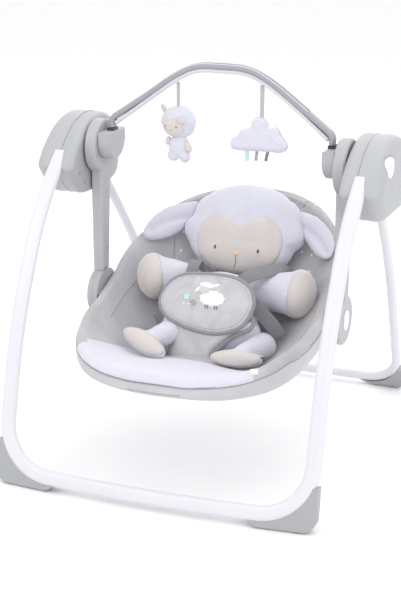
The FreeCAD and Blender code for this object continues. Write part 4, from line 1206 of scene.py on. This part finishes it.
def make_lamb_toy():
    low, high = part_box("lamb_toy")
    x, y = (low.x + high.x) / 2, (low.y + high.y) / 2
    body = blob("toy_lamb_body", [
        ((x + 0.002, y, low.z + 0.026), (0.019, 0.014, 0.022), 0),
        ((x - 0.008, y - 0.002, low.z + 0.011), (0.0105, 0.010, 0.011), 0),
        ((x + 0.013, y - 0.002, low.z + 0.010), (0.0105, 0.010, 0.011), 0),
    ], "white_plush", 0.0022, 4)
    push(body, lambda p: 0.0006 * noise.noise(Vector(p) * 160.0))
    done(body, "lamb_toy_body", "white_plush", "lamb_toy", fill=0.8)
    head_z = high.z - 0.0295
    wool = blob("toy_lamb_wool", [
        ((x + 0.001, y + 0.002, head_z + 0.003), (0.031, 0.019, 0.026), 0),
        ((x + 0.001, y + 0.002, head_z - 0.008), (0.028, 0.017, 0.020), 0),
    ], "white_plush", 0.0025, 4)
    push(wool, lambda p: 0.0012 * noise.noise(Vector(p) * 130.0) + 0.0006 * noise.noise(Vector(p) * 300.0))
    subdivide(wool, 1)
    done(wool, "lamb_toy_body", "white_plush", fill=0.8)
    aside = Vector((math.cos(LAMB_TOY_TURN), -math.sin(LAMB_TOY_TURN), 0))
    ahead = Vector((-math.sin(LAMB_TOY_TURN), -math.cos(LAMB_TOY_TURN), 0))
    centre = Vector((x - 0.003, y, head_z))
    front = View(centre, aside, (0, 0, 1), bvh_of(wool), 0.06)
    face = patch("toy_face", front, [
        (-0.021, 0.012), (-0.017, 0.016), (-0.010, 0.014), (-0.005, 0.009), (0.000, 0.007), (0.006, 0.010),
        (0.012, 0.011), (0.019, 0.010), (0.022, 0.000), (0.021, -0.012), (0.013, -0.020), (0.000, -0.023),
        (-0.012, -0.020), (-0.021, -0.011), (-0.024, 0.000)],
        "beige_plush", 0.0016, 0.0018, 0.0022, 0.0015, 4)
    done(face, "lamb_toy_body", "white_plush")
    front = View(centre, aside, (0, 0, 1), bvh_of(face), 0.06)
    parts = [patch("dot", front, oval(0.001 + s * 0.0105, -0.005, 0.0011, 0.0016, 0, 10), "thread_brown",
                   0.0006, 0.0006, 0, 0.0005) for s in (-1, 1)]
    parts.append(patch("dot", front, oval(0.001, -0.0085, 0.0019, 0.0014, 0, 10), "peach", 0.0006, 0.0006,
                       0.0003, 0.0005))
    parts.append(line_on("smile", front, [(0.001, -0.010), (0.0014, -0.014)], 0.0003, "thread_brown",
                         spacing=0.0008))
    done(joined("toy_lamb_features", parts), "lamb_toy_body", "webbing")
    limbs = []
    for place, along, shape, thickness, spacing, edge in (
            (centre - aside * 0.027 + Vector((0, 0, 0.021)), aside, (0.0050, 0.0085, 0.55),
             0.007, 0.0015, 0.004),
            (centre + aside * 0.021 + ahead * 0.016 + Vector((0, 0, 0.007)), aside, (0.0085, 0.0050, 0.10),
             0.007, 0.0015, 0.004),
            (Vector((x - 0.017, y - 0.004, low.z + 0.036)), (1, 0, 0), (0.0052, 0.0078, -0.25),
             0.009, 0.0016, 0.005),
            (Vector((x + 0.021, y - 0.006, low.z + 0.028)), (1, 0, 0), (0.0062, 0.0105, 0.35),
             0.010, 0.0016, 0.005)):
        limbs.append(cushion("limb", (place, along, (0, 0, 1)), oval(0, 0, *shape, 14), thickness,
                             "beige_plush", spacing, edge))
    done(joined("toy_lamb_ears_and_arms", limbs), "lamb_toy_body", "white_plush")


def make_cloud_toy():
    low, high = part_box("cloud_toy")
    centre = (low + high) / 2
    outline = [(-0.052, -0.018), (-0.048, -0.006), (-0.038, -0.001), (-0.034, 0.007), (-0.024, 0.011),
               (-0.016, 0.014), (-0.0135, 0.025), (-0.005, 0.0305), (0.007, 0.0305), (0.016, 0.023),
               (0.018, 0.014), (0.027, 0.017), (0.036, 0.012), (0.040, 0.003), (0.048, -0.006),
               (0.052, -0.015), (0.048, -0.025), (0.038, -0.029), (0.020, -0.029), (0.000, -0.029),
               (-0.020, -0.030),
               (-0.040, -0.030), (-0.050, -0.026)]
    frame_of = (centre, (1, 0, 0), (0, 0, 1))
    cloud = cushion("toy_cloud", frame_of, outline, 0.023, "white_plush", 0.0025, 0.012, 6, 1.0)
    puff(cloud, 3.0, 0.0015, 12)
    push(cloud, lambda p: 0.0007 * noise.noise(Vector(p) * 90.0))
    subdivide(cloud, 1)
    done(cloud, "cloud_toy_body", "white_plush", "cloud_toy", fill=0.8)
    view = View(centre, (1, 0, 0), (0, 0, 1), bvh_of(cloud), 0.06)
    seam = [(a * 0.93, b * 0.92 - 0.001) for a, b in outline]
    prints = [line_on("cloud_edge", view, seam, 0.0005, "thread_white", True)]
    for u, v, tall, tilt in ((0.020, -0.019, 0.0035, 0.0), (0.024, -0.015, 0.0030, 0.5),
                             (0.027, -0.020, 0.0028, -0.3), (0.030, -0.012, 0.0045, 0.1),
                             (0.033, -0.006, 0.0030, -0.4), (0.034, -0.018, 0.0034, 0.3),
                             (0.037, -0.011, 0.0026, 0.0), (0.040, -0.017, 0.0030, -0.5)):
        prints.append(patch("print", view, oval(u, v, 0.0010, tall, tilt, 8), "pale_blue", 0.0004, 0.0012, 0,
                            0.0006, 2))
    done(joined("toy_cloud_print", prints), "cloud_toy_body", "white_plush")
    tabs = []
    for k, (x, material, width) in enumerate(((-0.0205, "mint", 0.0075), (-0.003, "grey_tape", 0.0055),
                                              (0.0165, "brown_tape", 0.0055))):
        top = centre + Vector((x, 0.001 * (k % 2), -0.026))
        bottom = top - Vector((0.001 + 0.0014 * k, 0, 0.020 - 0.001 * k))
        path = smooth_path([top, (top + bottom) / 2 + Vector((0, -0.0015, 0)), bottom], False, 4)
        tabs.append(ribbon("tab", path, [(0.35, -1, 0.05)] * len(path), width, 0.0022, material))
    done(joined("toy_cloud_tabs", tabs), "cloud_toy_body", "webbing", "cloud_toy_tabs")


def make_toy_straps():
    for node, name, body, width in (("lamb_toy_strap", "toy_lamb_loop", "lamb_toy_body", 0.006),
                                    ("cloud_toy_strap", "toy_cloud_loop", "cloud_toy_body", 0.0075)):
        low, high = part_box(node)
        middle = (low + high) / 2
        path = smooth_path([(middle.x, middle.y, low.z - 0.008),
                            (middle.x + 0.0004, middle.y - 0.0006, middle.z),
                            (middle.x, middle.y, high.z)], False, 6)
        strap = ribbon("strap", path, [(0, -1, 0)] * len(path), width, 0.0016, "loop_tape")
        done(strap, body, "webbing", node)
        strap.name = name


# ---------------------------------------------------------------- lines on the hard parts

def make_bar_trim():
    """A painted highlight line and two dark lines of painted groove shade along the toy bar, laid on it by
    rays towards the middle of the arch.
    """
    bar = NODES["toy_bar_arch"]
    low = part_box("toy_bar_arch")[0]
    points = np.array([bar.matrix_world @ v.co for v in bar.data.vertices])
    around = np.arctan2(points[:, 2] - low.z, points[:, 0])
    tree = bvh_of(bar)
    angles = np.radians(np.linspace(14, 166, 110))
    lines = []
    # The first line is a painted highlight along the bar's edge in white plastic; the other two are dark
    # lines of painted shade in the bar's grooves.
    for aside, radius, lift, material in ((-0.0068, 0.0010, 0.0002, "bar_liner"),
                                          (-0.0035, 0.0006, 0.0, "piping_and_groove_shade"), (0.0035, 0.0006, 0.0, "piping_and_groove_shade")):
        path = []
        for angle in angles:
            near = points[np.abs(around - angle) < 0.06, 1]
            if not len(near):
                continue
            middle = float(near.mean())
            out = Vector((math.cos(angle), 0, math.sin(angle)))
            start = Vector((0, middle + aside, low.z)) + out * 0.5
            hit, normal, _, _ = tree.ray_cast(start, -out)
            if hit is not None:
                path.append(hit + normal * lift)
        evened = [sum(path[i - 3:i + 4], Vector()) / 7 for i in range(3, len(path) - 3)]
        lines.append(tube("bar_painted_light_line", evened, radius, material))
    done(joined("toy_bar_painted_highlight_and_shade_lines", lines), "toy_bar", "silver_bar")


def make_housing_seams():
    """The thin joint between the two shells of each motor housing."""
    for side, name in ((-1, "left"), (1, "right")):
        shells = [NODES["housing_outer_" + name], NODES["housing_inner_" + name]]
        low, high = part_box("housing_inner_" + name)
        x = low.x + 0.0004 if side < 0 else high.x - 0.0004
        centre = Vector((x, (low.y + high.y) / 2, (low.z + high.z) / 2))
        tree = bvh_of(*shells)
        path = []
        for degrees in range(-40, 196, 3):
            out = Vector((0, math.cos(math.radians(degrees)), math.sin(math.radians(degrees))))
            hit, normal, _, _ = tree.ray_cast(centre + out * 0.3, -out)
            if hit is not None:
                path.append(hit + normal * 0.0001)
        done(tube("housing_seam_" + name, path, 0.0006, "piping_and_groove_shade"), "stand", "grey_plastic")


# ---------------------------------------------------------------- assembly

CAD_FINISH = {
    "white_tube": ["front_leg_tube", "rear_leg_tube"],
    "foot_plastic": ["front_foot_left", "front_foot_right", "rear_foot_left", "rear_foot_right"],
    "grey_plastic": ["housing_outer_left", "housing_outer_right", "housing_inner_left", "housing_inner_right",
                     "arm_left", "arm_right", "arm_cover_left", "arm_cover_right", "toy_bar_socket_left",
                     "toy_bar_socket_right", "seat_hub_left", "seat_hub_right", "battery_door"],
    "white_plastic": ["power_button", "melody_button", "volume_button", "recline_button_left",
                      "recline_button_right"],
    "bezel_plastic": ["control_bezel", "leg_release_left", "leg_release_right"],
    "pad_rubber": ["front_foot_pads", "rear_foot_pads"],
    "steel": ["housing_screws", "leg_pivot_pins", "arm_screws", "hub_shafts", "recline_pins"],
    "bearing_plastic": ["hub_bushings", "rear_leg_hubs", "drive_lever"],
    "board": ["circuit_board"],
    "speaker_frame": ["speaker"],
    "copper": ["drive_coil"],
    "magnet": ["drive_magnet"],
    "dark_plastic": ["battery_tray", "toy_bar_ends", "harness_buckle"],
    "ring_steel": ["seat_tube_back", "seat_tube_front"],
    "silver_bar": ["toy_bar_arch"],
    "bar_liner": ["toy_bar_liner"],
}


def paint_cad_nodes():
    for material, nodes in CAD_FINISH.items():
        for node in nodes:
            mesh = NODES[node].data
            mesh.materials.clear()
            mesh.materials.append(MATERIAL[material])


MATERIAL = make_materials()
make_camera()
make_studio()
paint_cad_nodes()
seat_cover = make_seat_cover()
make_seat_trim(seat_cover)
make_torso()
make_head()
make_limbs()
make_harness_pad()
make_crotch_piece()
make_straps()
make_lamb_toy()
make_cloud_toy()
make_toy_straps()
make_bar_trim()
make_housing_seams()
